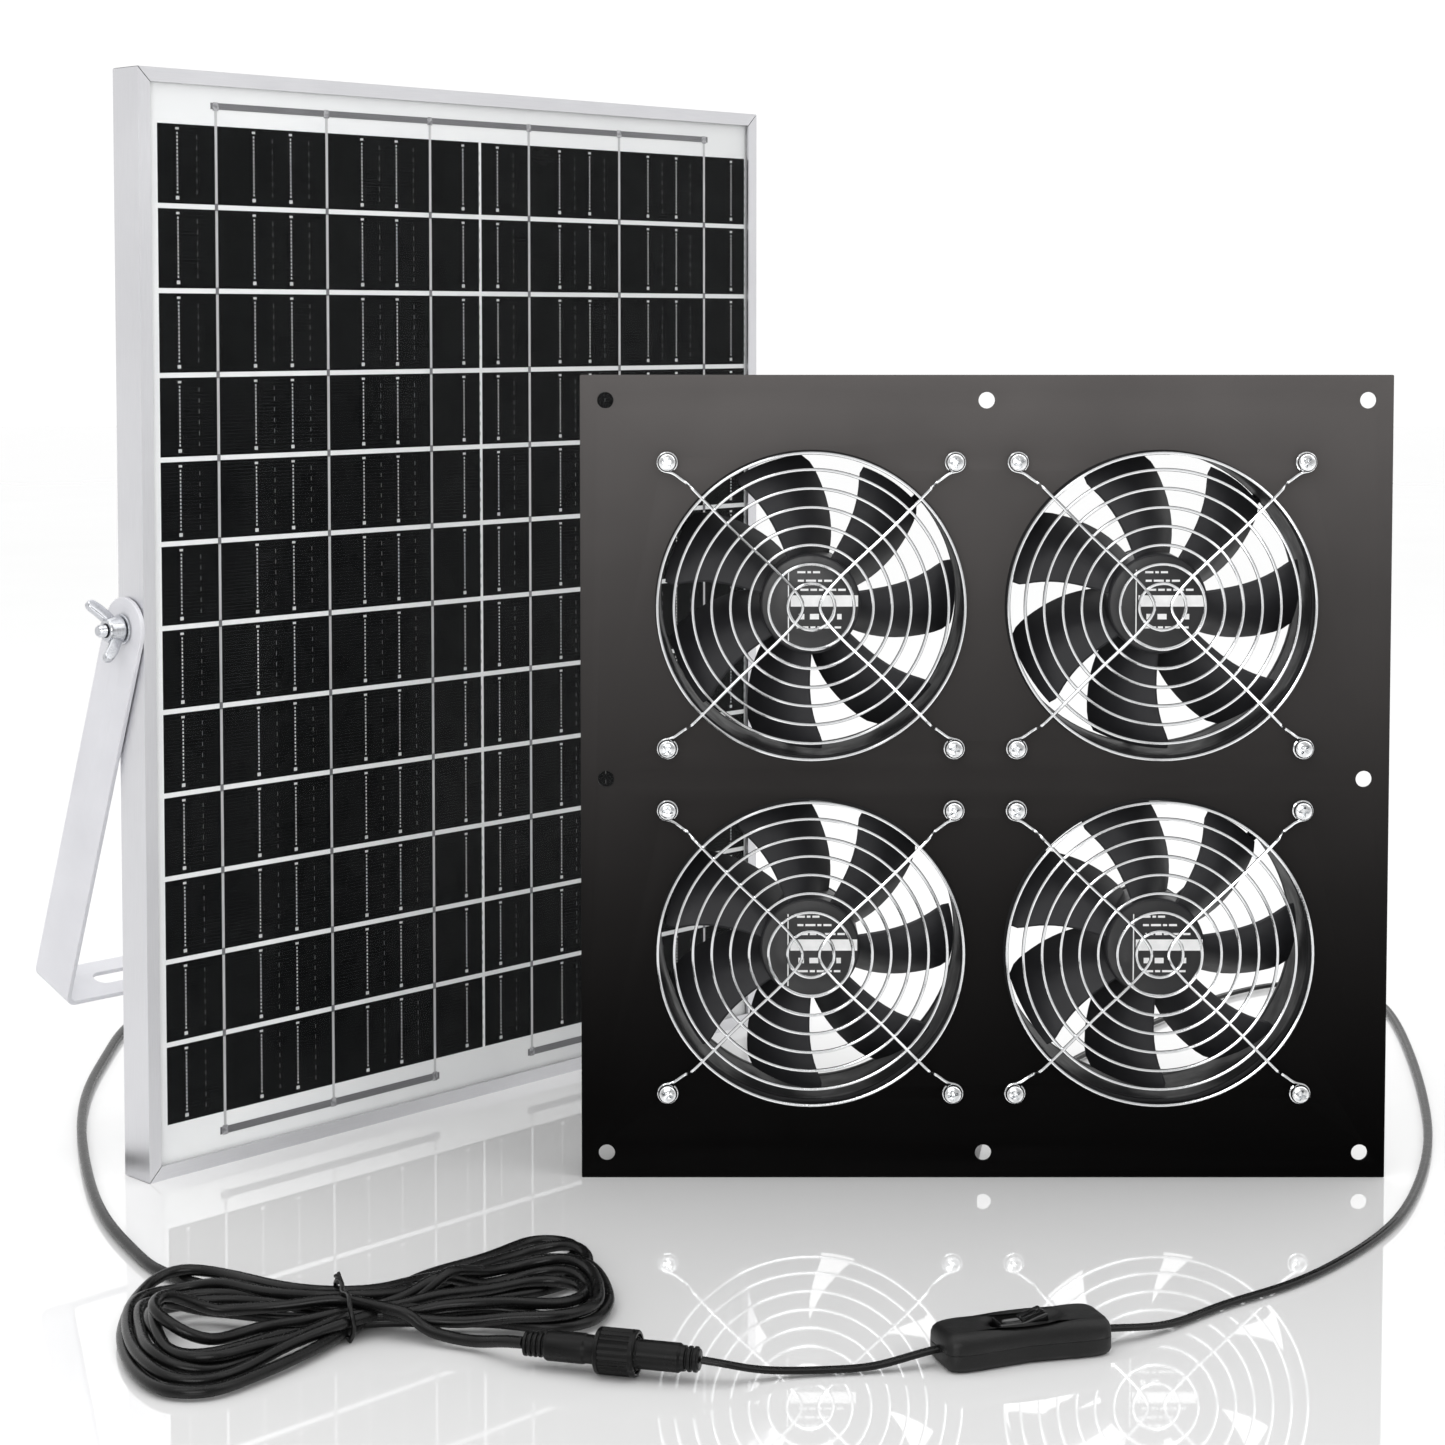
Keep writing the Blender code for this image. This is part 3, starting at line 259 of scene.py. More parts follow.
def floor_look():
    look = Look("pale_floor", Specular_IOR_Level=0.9, IOR=2.2)
    colour = look.mix(look.remap(look.noise(3, 3), 0, 1), grey(0.79), grey(0.81))
    return look.wire(Base_Color=colour, Roughness=look.remap(look.noise(6, 3), 0.02, 0.04))


DRAWN_RAIL = ((0.62, 0.62, 0.64), (0.71, 0.71, 0.73), (0.32, 0.44))
LOOKS = {
    "plate": plate_paint(),
    "fan_frame": moulded("frame_plastic", (0.008, 0.008, 0.009), (0.015, 0.015, 0.016), (0.5, 0.65),
                         Specular_IOR_Level=0.2),
    "impeller": moulded("blade_plastic", (0.018, 0.018, 0.020), (0.032, 0.032, 0.035), (0.38, 0.52), 1000,
                        0.00003, Specular_IOR_Level=0.35),
    "label": plain_surface("label_film", (0.006, 0.006, 0.007), (0.011, 0.011, 0.012), (0.3, 0.4), 90, 1500,
                           0.00001),
    "marks": plain_surface("label_print", grey(0.84), grey(0.92), (0.4, 0.5), 300, 2500, 0.00001),
    "motor": brushed_metal("winding", (0.35, 0.17, 0.08), (0.62, 0.33, 0.16), (0.3, 0.5), "x"),
    "guard_wire": brushed_metal("chromed_wire", (0.80, 0.81, 0.82), (0.92, 0.93, 0.94), (0.08, 0.16), "y"),
    "screw": brushed_metal("chromed_screw", (0.78, 0.79, 0.80), (0.90, 0.91, 0.92), (0.12, 0.22), "z"),
    "panel_frame": brushed_metal("anodised_rail", *DRAWN_RAIL, "z", PANEL_YAW),
    "rail_across": brushed_metal("anodised_rail_across", *DRAWN_RAIL, "x", PANEL_YAW),
    "glass": panel_glass(),
    "cells": backsheet(),
    "silicon": cell_silicon(),
    "ribbon": brushed_metal("tinned_ribbon", (0.52, 0.52, 0.53), (0.74, 0.74, 0.75), (0.35, 0.5), "z",
                            PANEL_YAW, 0.35),
    "bus": brushed_metal("bus_ribbon", (0.16, 0.16, 0.17), (0.30, 0.30, 0.31), (0.4, 0.55), "x", PANEL_YAW,
                         0.7),
    "solder": plain_surface("solder", (0.20, 0.20, 0.21), (0.62, 0.62, 0.64), (0.25, 0.45), 700, 2600, 0.0002,
                            0.8),
    "paste": plain_surface("silver_paste", grey(0.62), grey(0.80), (0.4, 0.6), 400, 2500, 0.00001),
    "box_plastic": moulded("box_plastic", grey(0.012), grey(0.022), (0.4, 0.55)),
    "stand": plain_surface("painted_steel", (0.60, 0.60, 0.63), (0.67, 0.67, 0.70), (0.38, 0.5), 25, 1300,
                           0.00004, 0.15),
    "plated_steel": brushed_metal("zinc_plate", (0.40, 0.41, 0.43), (0.66, 0.67, 0.70), (0.14, 0.28), "z"),
    "lead": plain_surface("lead_jacket", grey(0.0025), grey(0.005), (0.24, 0.32), 120, 1600, 0.000008,
                          Specular_IOR_Level=0.22),
    "red_wire": plain_surface("red_insulation", (0.32, 0.010, 0.008), (0.45, 0.02, 0.015), (0.35, 0.5), 150,
                              1600),
    "connector": moulded("connector_plastic", grey(0.003), grey(0.006), (0.24, 0.36), 1600, 0.00002,
                         Specular_IOR_Level=0.14),
    "switch": moulded("switch_shell", grey(0.004), grey(0.008), (0.36, 0.5), 1500, 0.0001,
                      Specular_IOR_Level=0.25),
    "rocker": moulded("rocker_plastic", grey(0.003), grey(0.006), (0.06, 0.14), 900, 0.000005,
                      Specular_IOR_Level=0.5),
}


# ---- shapes
def to_mesh(bm):
    mesh = bpy.data.meshes.new("shape")
    bm.to_mesh(mesh)
    bm.free()
    return mesh


def baked(bm):
    bmesh.ops.remove_doubles(bm, verts=bm.verts, dist=1e-4)
    bmesh.ops.recalc_face_normals(bm, faces=bm.faces)
    return to_mesh(bm)


def moved(mesh, matrix):
    copy = mesh.copy()
    copy.transform(matrix)
    if matrix.determinant() < 0:
        copy.flip_normals()
    return copy


def join(*meshes):
    bm = bmesh.new()
    for mesh in meshes:
        bm.from_mesh(mesh)
    return to_mesh(bm)


def circle(radius, sides, centre=(0, 0), start=0.0):
    angles = [start + 2 * pi * i / sides for i in range(sides)]
    return [(centre[0] + radius * cos(a), centre[1] + radius * sin(a)) for a in angles]


def rounded_rectangle(half_x, half_y, radius, steps=6, centre=(0, 0)):
    points = []
    for quarter, (sx, sy) in enumerate(((1, 1), (-1, 1), (-1, -1), (1, -1))):
        for step in range(steps + 1):
            angle = pi / 2 * (quarter + step / steps)
            points.append((centre[0] + sx * (half_x - radius) + radius * cos(angle),
                           centre[1] + sy * (half_y - radius) + radius * sin(angle)))
    return points


def fillet(points, radius, steps=3, closed=False):
    """Round the corners of an outline."""
    result = []
    count = len(points)
    for i, point in enumerate(points):
        if not closed and i in (0, count - 1):
            result.append(tuple(point))
            continue
        corner, before, after = Vector(point), Vector(points[i - 1]), Vector(points[(i + 1) % count])
        back, on = before - corner, after - corner
        reach = min(radius, back.length * 0.45, on.length * 0.45)
        start, stop = corner + back.normalized() * reach, corner + on.normalized() * reach
        for k in range(steps + 1):
            t = k / steps
            result.append(tuple(start * (1 - t) ** 2 + corner * 2 * t * (1 - t) + stop * t * t))
    return result


def stock_curve(name, paths, bevel, resolution):
    """A bevelled curve along each (points, closed) path."""
    curve = bpy.data.curves.new(name, "CURVE")
    curve.bevel_depth, curve.bevel_resolution = bevel, resolution
    for points, closed in paths:
        spline = curve.splines.new("POLY")
        spline.points.add(len(points) - 1)
        for target, point in zip(spline.points, points):
            target.co = (*point, 1)
        spline.use_cyclic_u = closed
    return curve


def sheet(outlines, low, high, bevel=0.25, resolution=2):
    """A flat plate between two heights with rounded edges: its rim, then its holes."""
    paths = [([(x, y, 0) for x, y in outline], True) for outline in outlines]
    curve = stock_curve("sheet", paths, bevel, resolution)
    curve.dimensions, curve.fill_mode = "2D", "BOTH"
    curve.extrude, curve.offset = (high - low) / 2 - bevel, -bevel
    mesh = curve_mesh(curve)
    mesh.transform(shift(0, 0, (low + high) / 2))
    return mesh


def curve_mesh(curve):
    obj = link(bpy.data.objects.new("curve_stock", curve))
    bpy.context.view_layer.update()
    raw = bpy.data.meshes.new_from_object(obj.evaluated_get(bpy.context.evaluated_depsgraph_get()))
    bpy.data.objects.remove(obj)
    bm = bmesh.new()
    bm.from_mesh(raw)
    return baked(bm)


def tube(paths, radius, resolution=3):
    """Round wire along each (points, closed) path."""
    curve = stock_curve("tube", paths, radius, resolution)
    curve.dimensions, curve.use_fill_caps = "3D", True
    return curve_mesh(curve)


def turned(profile, sides=48, closed=False, ridges=None):
    """Turn (radius, z) points about Z. ridges is (count, depth, from z, to z) for a knurled stretch."""
    bm = bmesh.new()
    rows = []
    for radius, z in profile:
        if radius <= 1e-6:
            rows.append([bm.verts.new((0, 0, z))])
            continue
        row = []
        for i in range(sides):
            angle = 2 * pi * i / sides
            reach = radius
            if ridges and ridges[2] <= z <= ridges[3]:
                reach -= ridges[1] * (0.5 - 0.5 * cos(ridges[0] * angle)) ** 0.6
            row.append(bm.verts.new((reach * cos(angle), reach * sin(angle), z)))
        rows.append(row)
    pairs = list(zip(rows, rows[1:])) + ([(rows[-1], rows[0])] if closed else [])
    for first, second in pairs:
        for i in range(sides):
            j = (i + 1) % sides
            face = [row[k % len(row)] for row, k in ((first, i), (first, j), (second, j), (second, i))]
            bm.faces.new(list(dict.fromkeys(face)))
    return baked(bm)


def turned_ring(profile, radius, sides):
    """A turned ring whose closed section has rounded corners."""
    return turned(fillet(profile, radius, closed=True), sides, closed=True)


def lofted(rows):
    """A closed skin through rings of points, capped at both ends."""
    bm = bmesh.new()
    rings = [[bm.verts.new(p) for p in row] for row in rows]
    bm.faces.new(rings[0])
    bm.faces.new(rings[-1])
    for first, second in zip(rings, rings[1:]):
        for i, _ in enumerate(first):
            j = (i + 1) % len(first)
            bm.faces.new((first[i], first[j], second[j], second[i]))
    return baked(bm)


def boxes(corners):
    """One mesh of plain boxes, each given by its lowest and highest corner."""
    bm = bmesh.new()
    for low, high in corners:
        size = [b - a for a, b in zip(low, high)]
        middle = [(a + b) / 2 for a, b in zip(low, high)]
        bmesh.ops.create_cube(bm, size=1.0, matrix=shift(*middle) @ Matrix.Diagonal((*size, 1)))
    return to_mesh(bm)


def cut(mesh, tool):
    """Take one shape out of another."""
    body, knife = link(bpy.data.objects.new("cut_body", mesh)), link(bpy.data.objects.new("cut_tool", tool))
    modifier = body.modifiers.new("cut", "BOOLEAN")
    modifier.solver, modifier.operation, modifier.object = "EXACT", "DIFFERENCE", knife
    result = bpy.data.meshes.new_from_object(body.evaluated_get(bpy.context.evaluated_depsgraph_get()))
    for obj in (body, knife):
        bpy.data.objects.remove(obj)
    return result


def smooth_curve(points, spacing):
    """Evenly spaced points on the natural cubic spline through the route's points."""
    points = np.array(points, dtype=float)
    knots = np.concatenate(([0.0], np.cumsum(np.linalg.norm(np.diff(points, axis=0), axis=1))))
    steps, count = np.diff(knots), len(points)
    system, load = np.eye(count), np.zeros((count, 3))
    for i in range(1, count - 1):
        system[i, i - 1:i + 2] = (steps[i - 1], 2 * (steps[i - 1] + steps[i]), steps[i])
        load[i] = 6 * ((points[i + 1] - points[i]) / steps[i] - (points[i] - points[i - 1]) / steps[i - 1])
    bend = np.linalg.solve(system, load)
    distance = np.linspace(0, knots[-1], max(2, round(knots[-1] / spacing)) + 1)
    i = np.clip(np.searchsorted(knots, distance, side="right") - 1, 0, count - 2)
    h, a, b = steps[i][:, None], (knots[i + 1] - distance)[:, None], (distance - knots[i])[:, None]
    return (bend[i] * a ** 3 / (6 * h) + bend[i + 1] * b ** 3 / (6 * h)
            + (points[i] / h - bend[i] * h / 6) * a + (points[i + 1] / h - bend[i + 1] * h / 6) * b)


def add_piece(name, mesh, look, place=Matrix.Identity(4), body="root", stands_for=(), angle=35):
    """Place a shape as one visible piece that rides on a body."""
    mesh = moved(mesh, UNIT @ place)
    mesh.name = name
    mesh.materials.clear()
    mesh.materials.append(LOOKS[look])
    mesh.shade_smooth()
    mesh.set_sharp_from_angle(angle=radians(angle))
    obj = link(bpy.data.objects.new(name, mesh))
    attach(obj, body)
    if stands_for:
        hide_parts(*stands_for)
    return obj


def recoat(node, look):
    """Give a CAD solid that stays visible its material."""
    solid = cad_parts[node]
    solid.data.materials.clear()
    solid.data.materials.append(LOOKS[look])
    return solid


# ---- camera, floor and light
def build_stage():
    """The camera at the photograph's angle, a pale glossy floor, a bright room and five soft lights."""
    scene = bpy.context.scene
    camera = link(bpy.data.objects.new("camera", bpy.data.cameras.new("camera")))
    camera.location = (-0.1039, -1.085, 0.3403)
    camera.rotation_euler = (radians(87.01), 0, 0)
    camera.data.sensor_width, camera.data.lens = 36, 68.74
    camera.data.shift_y = -0.1767
    camera.data.clip_start, camera.data.clip_end = 0.02, 60
    scene.camera = camera
    scene.view_settings.view_transform = "Standard"

    bm = bmesh.new()
    bmesh.ops.create_grid(bm, x_segments=4, y_segments=4, size=8)
    mesh = to_mesh(bm)
    mesh.materials.append(floor_look())
    link(bpy.data.objects.new("floor", mesh))

    world = bpy.data.worlds.new("studio")
    world.use_nodes = True
    scene.world = world
    tree = world.node_tree
    way = tree.nodes.new("ShaderNodeSeparateXYZ")
    tree.links.new(tree.nodes.new("ShaderNodeTexCoord").outputs["Generated"], way.inputs[0])
    behind_camera, above = [tree.nodes.new("ShaderNodeMapRange") for _ in range(2)]
    total = tree.nodes.new("ShaderNodeMath")
    for ramp, axis, values in ((behind_camera, "Y", (-0.8, -0.1, 0.45, 1.04)),
                               (above, "Z", (0.15, 0.85, 0.0, 0.25))):
        tree.links.new(way.outputs[axis], ramp.inputs["Value"])
        for key, value in zip(("From Min", "From Max", "To Min", "To Max"), values):
            ramp.inputs[key].default_value = value
    for socket, ramp in zip(total.inputs, (behind_camera, above)):
        tree.links.new(ramp.outputs["Result"], socket)
    tree.links.new(total.outputs[0], tree.nodes["Background"].inputs["Strength"])
    tree.nodes["Background"].inputs["Color"].default_value = (1, 1, 1, 1)
    for name, place, target, size, power in (
        ("key", (-1.2, -1.6, 2.2), (-0.1, 0, 0.1), (1.6, 1.6), 9),
        ("fill", (1.8, -1.0, 1.6), (0, 0, 0.15), (1.4, 1.4), 6),
        ("top", (0, 0.6, 2.6), (0, 0.1, 0), (2.4, 2.4), 9),
        ("panel_fill", (-0.3, -1.6, 0.5), (-0.25, 0.1, 0.1), (0.9, 0.6), 8),
        ("strip", (0, -0.55, 1.5), (0, -0.15, 0), (2.2, 0.12), 3.5),
    ):
        light = bpy.data.lights.new(name, "AREA")
        light.shape, light.size, light.size_y, light.energy = "RECTANGLE", *size, power
        lamp = link(bpy.data.objects.new(name, light))
        lamp.location = place
        lamp.rotation_euler = (Vector(target) - Vector(place)).to_track_quat("-Z", "Y").to_euler()


# ---- cords
# the lead's way in under the left lobe, and then for each turn of the hank: its place in the bundle at
# the tie on the way right, the right lobe, its place on the way back and the left lobe
HANK_ENTRY = ((-40, 59, 2.4), (-29, 44, 2.6), (-16, 26, 3.2))
HANK_LOOPS = (
    ((8.2, 3.9), ((35, 33), (62, 46), (79, 56), (89, 59.5), (97, 53), (98, 44), (91, 35), (79, 27), (62, 21),
                  (38, 16)),
     (-9.0, 3.9), ((-22, -27), (-40, -38), (-54, -43), (-64, -39), (-71, -25), (-73, -1), (-71, 18),
                   (-66, 37), (-58, 55), (-48, 63), (-38, 60), (-24, 40))),
    ((8.1, 11.0), ((31, 20), (59, 37), (77, 44), (90, 41), (96, 31), (93, 20), (82, 10), (62, 4), (42, 3)),
     (-11.2, 7.4), ((-21, -20), (-38, -31), (-53, -36), (-63, -32), (-69, -20), (-71, 0), (-69, 20),
                    (-63, 38), (-53, 47), (-42, 46), (-26, 30))),
    ((3.9, 11.0), ((37, 15), (64, 26), (80, 27), (91, 18), (93, -3), (87, -20), (77, -30), (66, -31),
                   (50, -21), (30, -12)),
     (-4.7, 3.9), ((-21, -15), (-36, -23), (-52, -28), (-61, -25), (-67, -13), (-67, 4), (-65, 21), (-59, 35),
                   (-50, 40), (-39, 39), (-24, 27))),
    ((6.0, 7.4), ((35, 8), (61, 17), (77, 17), (86, 7), (86, -8), (78, -20), (68, -24), (51, -18), (30, -13)),
     (-0.4, 3.9), ((-18, -4), (-34, -11), (-49, -15), (-59, -11), (-63, 0), (-63, 12), (-58, 25), (-49, 32),
                   (-37, 30), (-22, 19))),
    ((1.8, 7.4), ((33, 0), (54, 3), (68, 5), (79, 1), (83, -8), (79, -17), (68, -21), (54, -20), (36, -17)),
     (-6.9, 7.4), ((-20, -17), (-37, -24), (-51, -27), (-59, -21), (-63, -8), (-62, 8), (-56, 20), (-47, 24),
                   (-35, 19), (-20, 9))),
    ((3.9, 3.9), ((35, 7), (62, 20), (81, 18), (89, 4), (87, -12), (81, -25), (69, -31), (49, -25),
                  (28, -19)),
     (-2.6, 7.4), ((-14, -4), (-28, -4), (-41, -9), (-51, -12), (-60, -8), (-63, 2), (-57, 13), (-46, 17),
                   (-33, 12), (-18, 5))),
)
HANK_EXIT = ((0, -0.4, 11.0), (9, -8, 10.5), (19, -17, 8.2))
# how far from the tie the strands are held together, how far out the lobes come down to the floor, and
# the distance between a cord's points
TIE_REACH, LOBE_FALL, CORD_STEP, FAN_CORD_STEP = 24, 30, 2.5, 3.0


def hank_points():
    """The loops of the tied hank in its own frame, from the lead's way in to the tail's way out."""
    points = list(HANK_ENTRY)
    slots = [slot for loop in HANK_LOOPS for slot in (loop[0], loop[2])] + [HANK_EXIT[0][1:]]
    lobes = [lobe for loop in HANK_LOOPS for lobe in (loop[1], loop[3])]
    for number, lobe in enumerate(lobes):
        here, there = slots[number], slots[number + 1]
        rest = 2.4 + 0.25 * number
        points.append((0, *here))
        for i, (x, y) in enumerate(lobe):
            bundle = here[1] + (there[1] - here[1]) * i / (len(lobe) - 1)
            points.append((x, y, rest + (bundle - rest) * exp(-(x / LOBE_FALL) ** 2)))
    return points + list(HANK_EXIT)


def stacked(points, diameter, reach=3):
    """Raise each strand onto the ones it crosses, easing it over them; the tied bundle stays as packed."""
    index, height = np.arange(len(points)), points[:, 2].copy()
    loose = 1 - np.exp(-(points[:, 0] / TIE_REACH) ** 4)
    done = np.zeros(len(points), bool)
    for i in np.argsort(height):
        apart = np.linalg.norm(points[:, :2] - points[i, :2], axis=1)
        clear = diameter * loose[i]
        below = done & (apart < clear) & (np.abs(index - i) > 6)
        if below.any():
            height[i] = max(height[i], (height[below] + np.sqrt(clear ** 2 - apart[below] ** 2)).max())
        done[i] = True
    crest = np.array([height[max(0, i - reach):i + reach + 1].max() for i in index])
    window = np.ones(2 * reach + 1) / (2 * reach + 1)
    over = np.convolve(np.pad(crest, reach, mode="edge"), window, "valid")
    points[:, 2] += (over - points[:, 2]) * loose
    for _ in range(3):
        points[1:-1, 2] = (points[:-2, 2] + 2 * points[1:-1, 2] + points[2:, 2]) / 4
    points[:, 2] = np.maximum(points[:, 2], diameter / 2 + 0.1)
    return points


def eased(points, least, rounds):
    """Open up bends tighter than the least radius by moving their points towards their neighbours' middle."""
    points = points.copy()
    for _ in range(rounds):
        across = points[2:] - points[:-2]
        middle = (points[2:] + points[:-2]) / 2
        sag = np.linalg.norm(points[1:-1] - middle, axis=1)
        limit = (np.linalg.norm(across, axis=1) / 2) ** 2 / (2 * least)
        share = np.clip((sag - limit) / np.maximum(sag, 1e-6), 0, 1) * 0.5
        points[1:-1] += (middle - points[1:-1]) * share[:, None]
    return points


def build_cords():
    to_hank = HANK.inverted()
    route_in = [to_hank @ Vector(p) for p in PANEL_LEAD_ROUTE]
    route_out = [to_hank @ Vector(p) for p in TAIL_ROUTE]
    line = smooth_curve([*route_in, *hank_points(), *route_out], CORD_STEP)
    ends = (route_in[-1], route_out[0])
    start, stop = [int(np.argmin(np.linalg.norm(line - np.array(p), axis=1))) for p in ends]
    line[start:stop] = eased(line[start:stop], TIGHTEST_FOLD, 90)
    line[start:stop] = stacked(line[start:stop].copy(), PANEL_LEAD_D)
    line[start - 20:stop + 12] = eased(line[start - 20:stop + 12], TIGHTEST_FOLD - 1, 60)
    strands = line[start:stop]
    world_line = [HANK @ Vector(p) * MM for p in line]

    curve = stock_curve("panel_cord", [(world_line, False)], PANEL_LEAD_D / 2 * MM, 5)
    curve.dimensions, curve.use_fill_caps = "3D", True
    curve.materials.append(LOOKS["lead"])
    panel_cord = link(bpy.data.objects.new("panel_cord", curve))
    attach(panel_cord, "root")
    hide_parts("panel_lead", "lead_hank", "lead_tail")
    panel_length = sum((b - a).length for a, b in zip(world_line, world_line[1:]))

    path = smooth_curve(FAN_LEAD_ROUTE, FAN_CORD_STEP)
    fan_cord = add_piece("fan_cord", twin_lead(path), "lead", stands_for=("fan_lead_in", "fan_lead_out"))
    fan_path = [tuple(p * MM) for p in path]
    fan_length = float(np.linalg.norm(np.diff(path, axis=0), axis=1).sum()) * MM
    return panel_cord, panel_length, fan_cord, fan_path, fan_length, strands


def twin_lead(path):
    """A flat twin lead: two round cores side by side, lying on their width."""
    section = [(FAN_LEAD_SPREAD + x, y) for x, y in circle(FAN_LEAD_R, 14) if x > -FAN_LEAD_R * 0.75]
    section.sort(key=lambda p: atan2(p[1], p[0] - FAN_LEAD_SPREAD))
    section += [(-x, -y) for x, y in section]
    points = [Vector(p) for p in path]
    across, rows = None, []
    for i, point in enumerate(points):
        along = (points[min(i + 1, len(points) - 1)] - points[max(i - 1, 0)]).normalized()
        across = Vector((1, 0, 0)) if across is None else across
        across = (across - along * across.dot(along)).normalized()
        level = along.cross(Vector((0, 0, 1)))
        if level.length > 0.35:
            level = level.normalized() * (1 if level.dot(across) >= 0 else -1)
            across = (across * 0.7 + level * 0.3).normalized()
        up = across.cross(along)
        rows.append([point + across * x + up * y for x, y in section])
    return lofted(rows)


def build_tie(strands):
    """A thin wire tie pulled round the waist of the hank, with its twisted ends on top."""
    waist = strands[np.abs(strands[:, 0]) < 2.0][:, 1:]
    centre = waist.mean(axis=0)
    loop = []
    for angle in np.linspace(0, 2 * pi, 40, endpoint=False):
        way = np.array((cos(angle), sin(angle)))
        reach = ((waist - centre) @ way).max() + PANEL_LEAD_D / 2 + 0.9
        loop.append(centre + way * reach)
    loop = np.array(loop)
    for _ in range(3):
        loop = (np.roll(loop, 1, axis=0) + loop * 2 + np.roll(loop, -1, axis=0)) / 4
    loop[:, 1] = np.maximum(loop[:, 1], 0.95)
    top = loop[np.argmax(loop[:, 1])]
    band = [(0.4 * sin(i), y, z) for i, (y, z) in enumerate(loop)]
    ends = []
    for phase in (0, pi):
        twist = [(0.75 * cos(phase + k * 0.9) + 0.5 * k * 0.2, top[0] + 0.9 * k, top[1] - 0.1 * k
                  + 0.75 * sin(phase + k * 0.9) + 0.012 * k * k) for k in range(9)]
        ends.append((twist, False))
    mesh = join(tube([(band, True)], 0.85), tube(ends, 0.6))
    return add_piece("wire_tie", mesh, "lead", HANK, stands_for=("hank_tie",))


# ---- fan unit
PLATE_HALF = 160
PLATE_HALF_THICK, OPENING_R = 0.75, 61.5
HOLE_OFFSET, HOLE_R, SCREW_HOLE_R, POST_R = 150, 3.25, 2.4, 4.3
FRAME_FRONT, FRAME_REAR, FRAME_HALF = -1.05, -39.05, 63.4
FLANGE, DUCT_R, DUCT_OUTER_R = 3.5, 60, 62.4
STRUT_TURNS = (42, 150, 264)
GUARD_RINGS = (60.5, 54, 46.6, 39.2, 31.8, 24.4, 16.8, 9.2)
RING_HEIGHT, SPOKE_HEIGHT, EYELET_HEIGHT, EYELET_R = 5.5, 6.4, 1.7, 3.7
WIRE_R, SPOKE_APEX = 0.65, 3.3
BLADES, BLADE_TILT = 7, radians(52)
# radius, front-edge angle and rear-edge angle of the first blade
BLADE_STATIONS = np.array(((19, 116.6, 66), (33, 115, 75), (48, 118, 85), (58, 122, 91)))


def corners():
    return [(sx * SCREW_OFFSET, sy * SCREW_OFFSET) for sy in (1, -1) for sx in (-1, 1)]


def plate_shape():
    holes = [circle(OPENING_R, 128, (x, z)) for x, z in FAN_CENTRES]
    places = (-HOLE_OFFSET, 0, HOLE_OFFSET)
    holes += [circle(HOLE_R, 32, (x, PLATE_HALF + y)) for x in places for y in places if x or y]
    holes += [circle(SCREW_HOLE_R, 20, (cx + x, cz + y)) for cx, cz in FAN_CENTRES for x, y in corners()]
    rim = rounded_rectangle(PLATE_HALF, PLATE_HALF, 0.5, 3, (0, PLATE_HALF))
    return sheet([rim, *holes], -PLATE_HALF_THICK, PLATE_HALF_THICK, 0.2)


def frame_shape():
    """Square fan frame: flanges, duct, screw posts, and the struts with the motor seat."""
    rim = rounded_rectangle(FRAME_HALF, FRAME_HALF, 6, 8)
    holes = [circle(DUCT_R, 96)] + [circle(SCREW_HOLE_R, 20, c) for c in corners()]
    parts = [sheet([rim, *holes], FRAME_FRONT - FLANGE, FRAME_FRONT, 0.4),
             sheet([rim, *holes], FRAME_REAR, FRAME_REAR + FLANGE, 0.4)]
    front, rear = FRAME_FRONT - 0.5, FRAME_REAR + 0.5
    inner, outer = DUCT_R + 0.2, DUCT_OUTER_R
    duct = ((inner, front), (outer, front), (outer, rear), (inner, rear), (DUCT_R, (front + rear) / 2))
    parts.append(turned(duct, 96, closed=True))
    post = ((SCREW_HOLE_R, front - 2), (POST_R, front - 2), (POST_R, rear + 2), (SCREW_HOLE_R, rear + 2))
    parts += [moved(turned(post, 20, closed=True), shift(x, y, 0)) for x, y in corners()]
    seat = fillet(((0, -35.2), (17.5, -35.2), (18.5, -34.6), (20, -34.6), (20, -38.05), (15, -38.05),
                   (14.4, -37.5), (0, -37.5)), 0.6)
    parts.append(turned(seat, 64))
    strut = fillet(((17, -2.5), (61.2, -2.0), (61.2, 2.0), (17, 2.5)), 0.6, closed=True)
    strut = sheet([strut], -37.7, -35.0, 0.5)
    rib = sheet([[(19, -0.6), (60.5, -0.6), (60.5, 0.6), (19, 0.6)]], -35.2, -32.4, 0.3)
    parts += [moved(part, turn(angle, "Z")) for angle in STRUT_TURNS for part in (strut, rib)]
    return join(*parts)


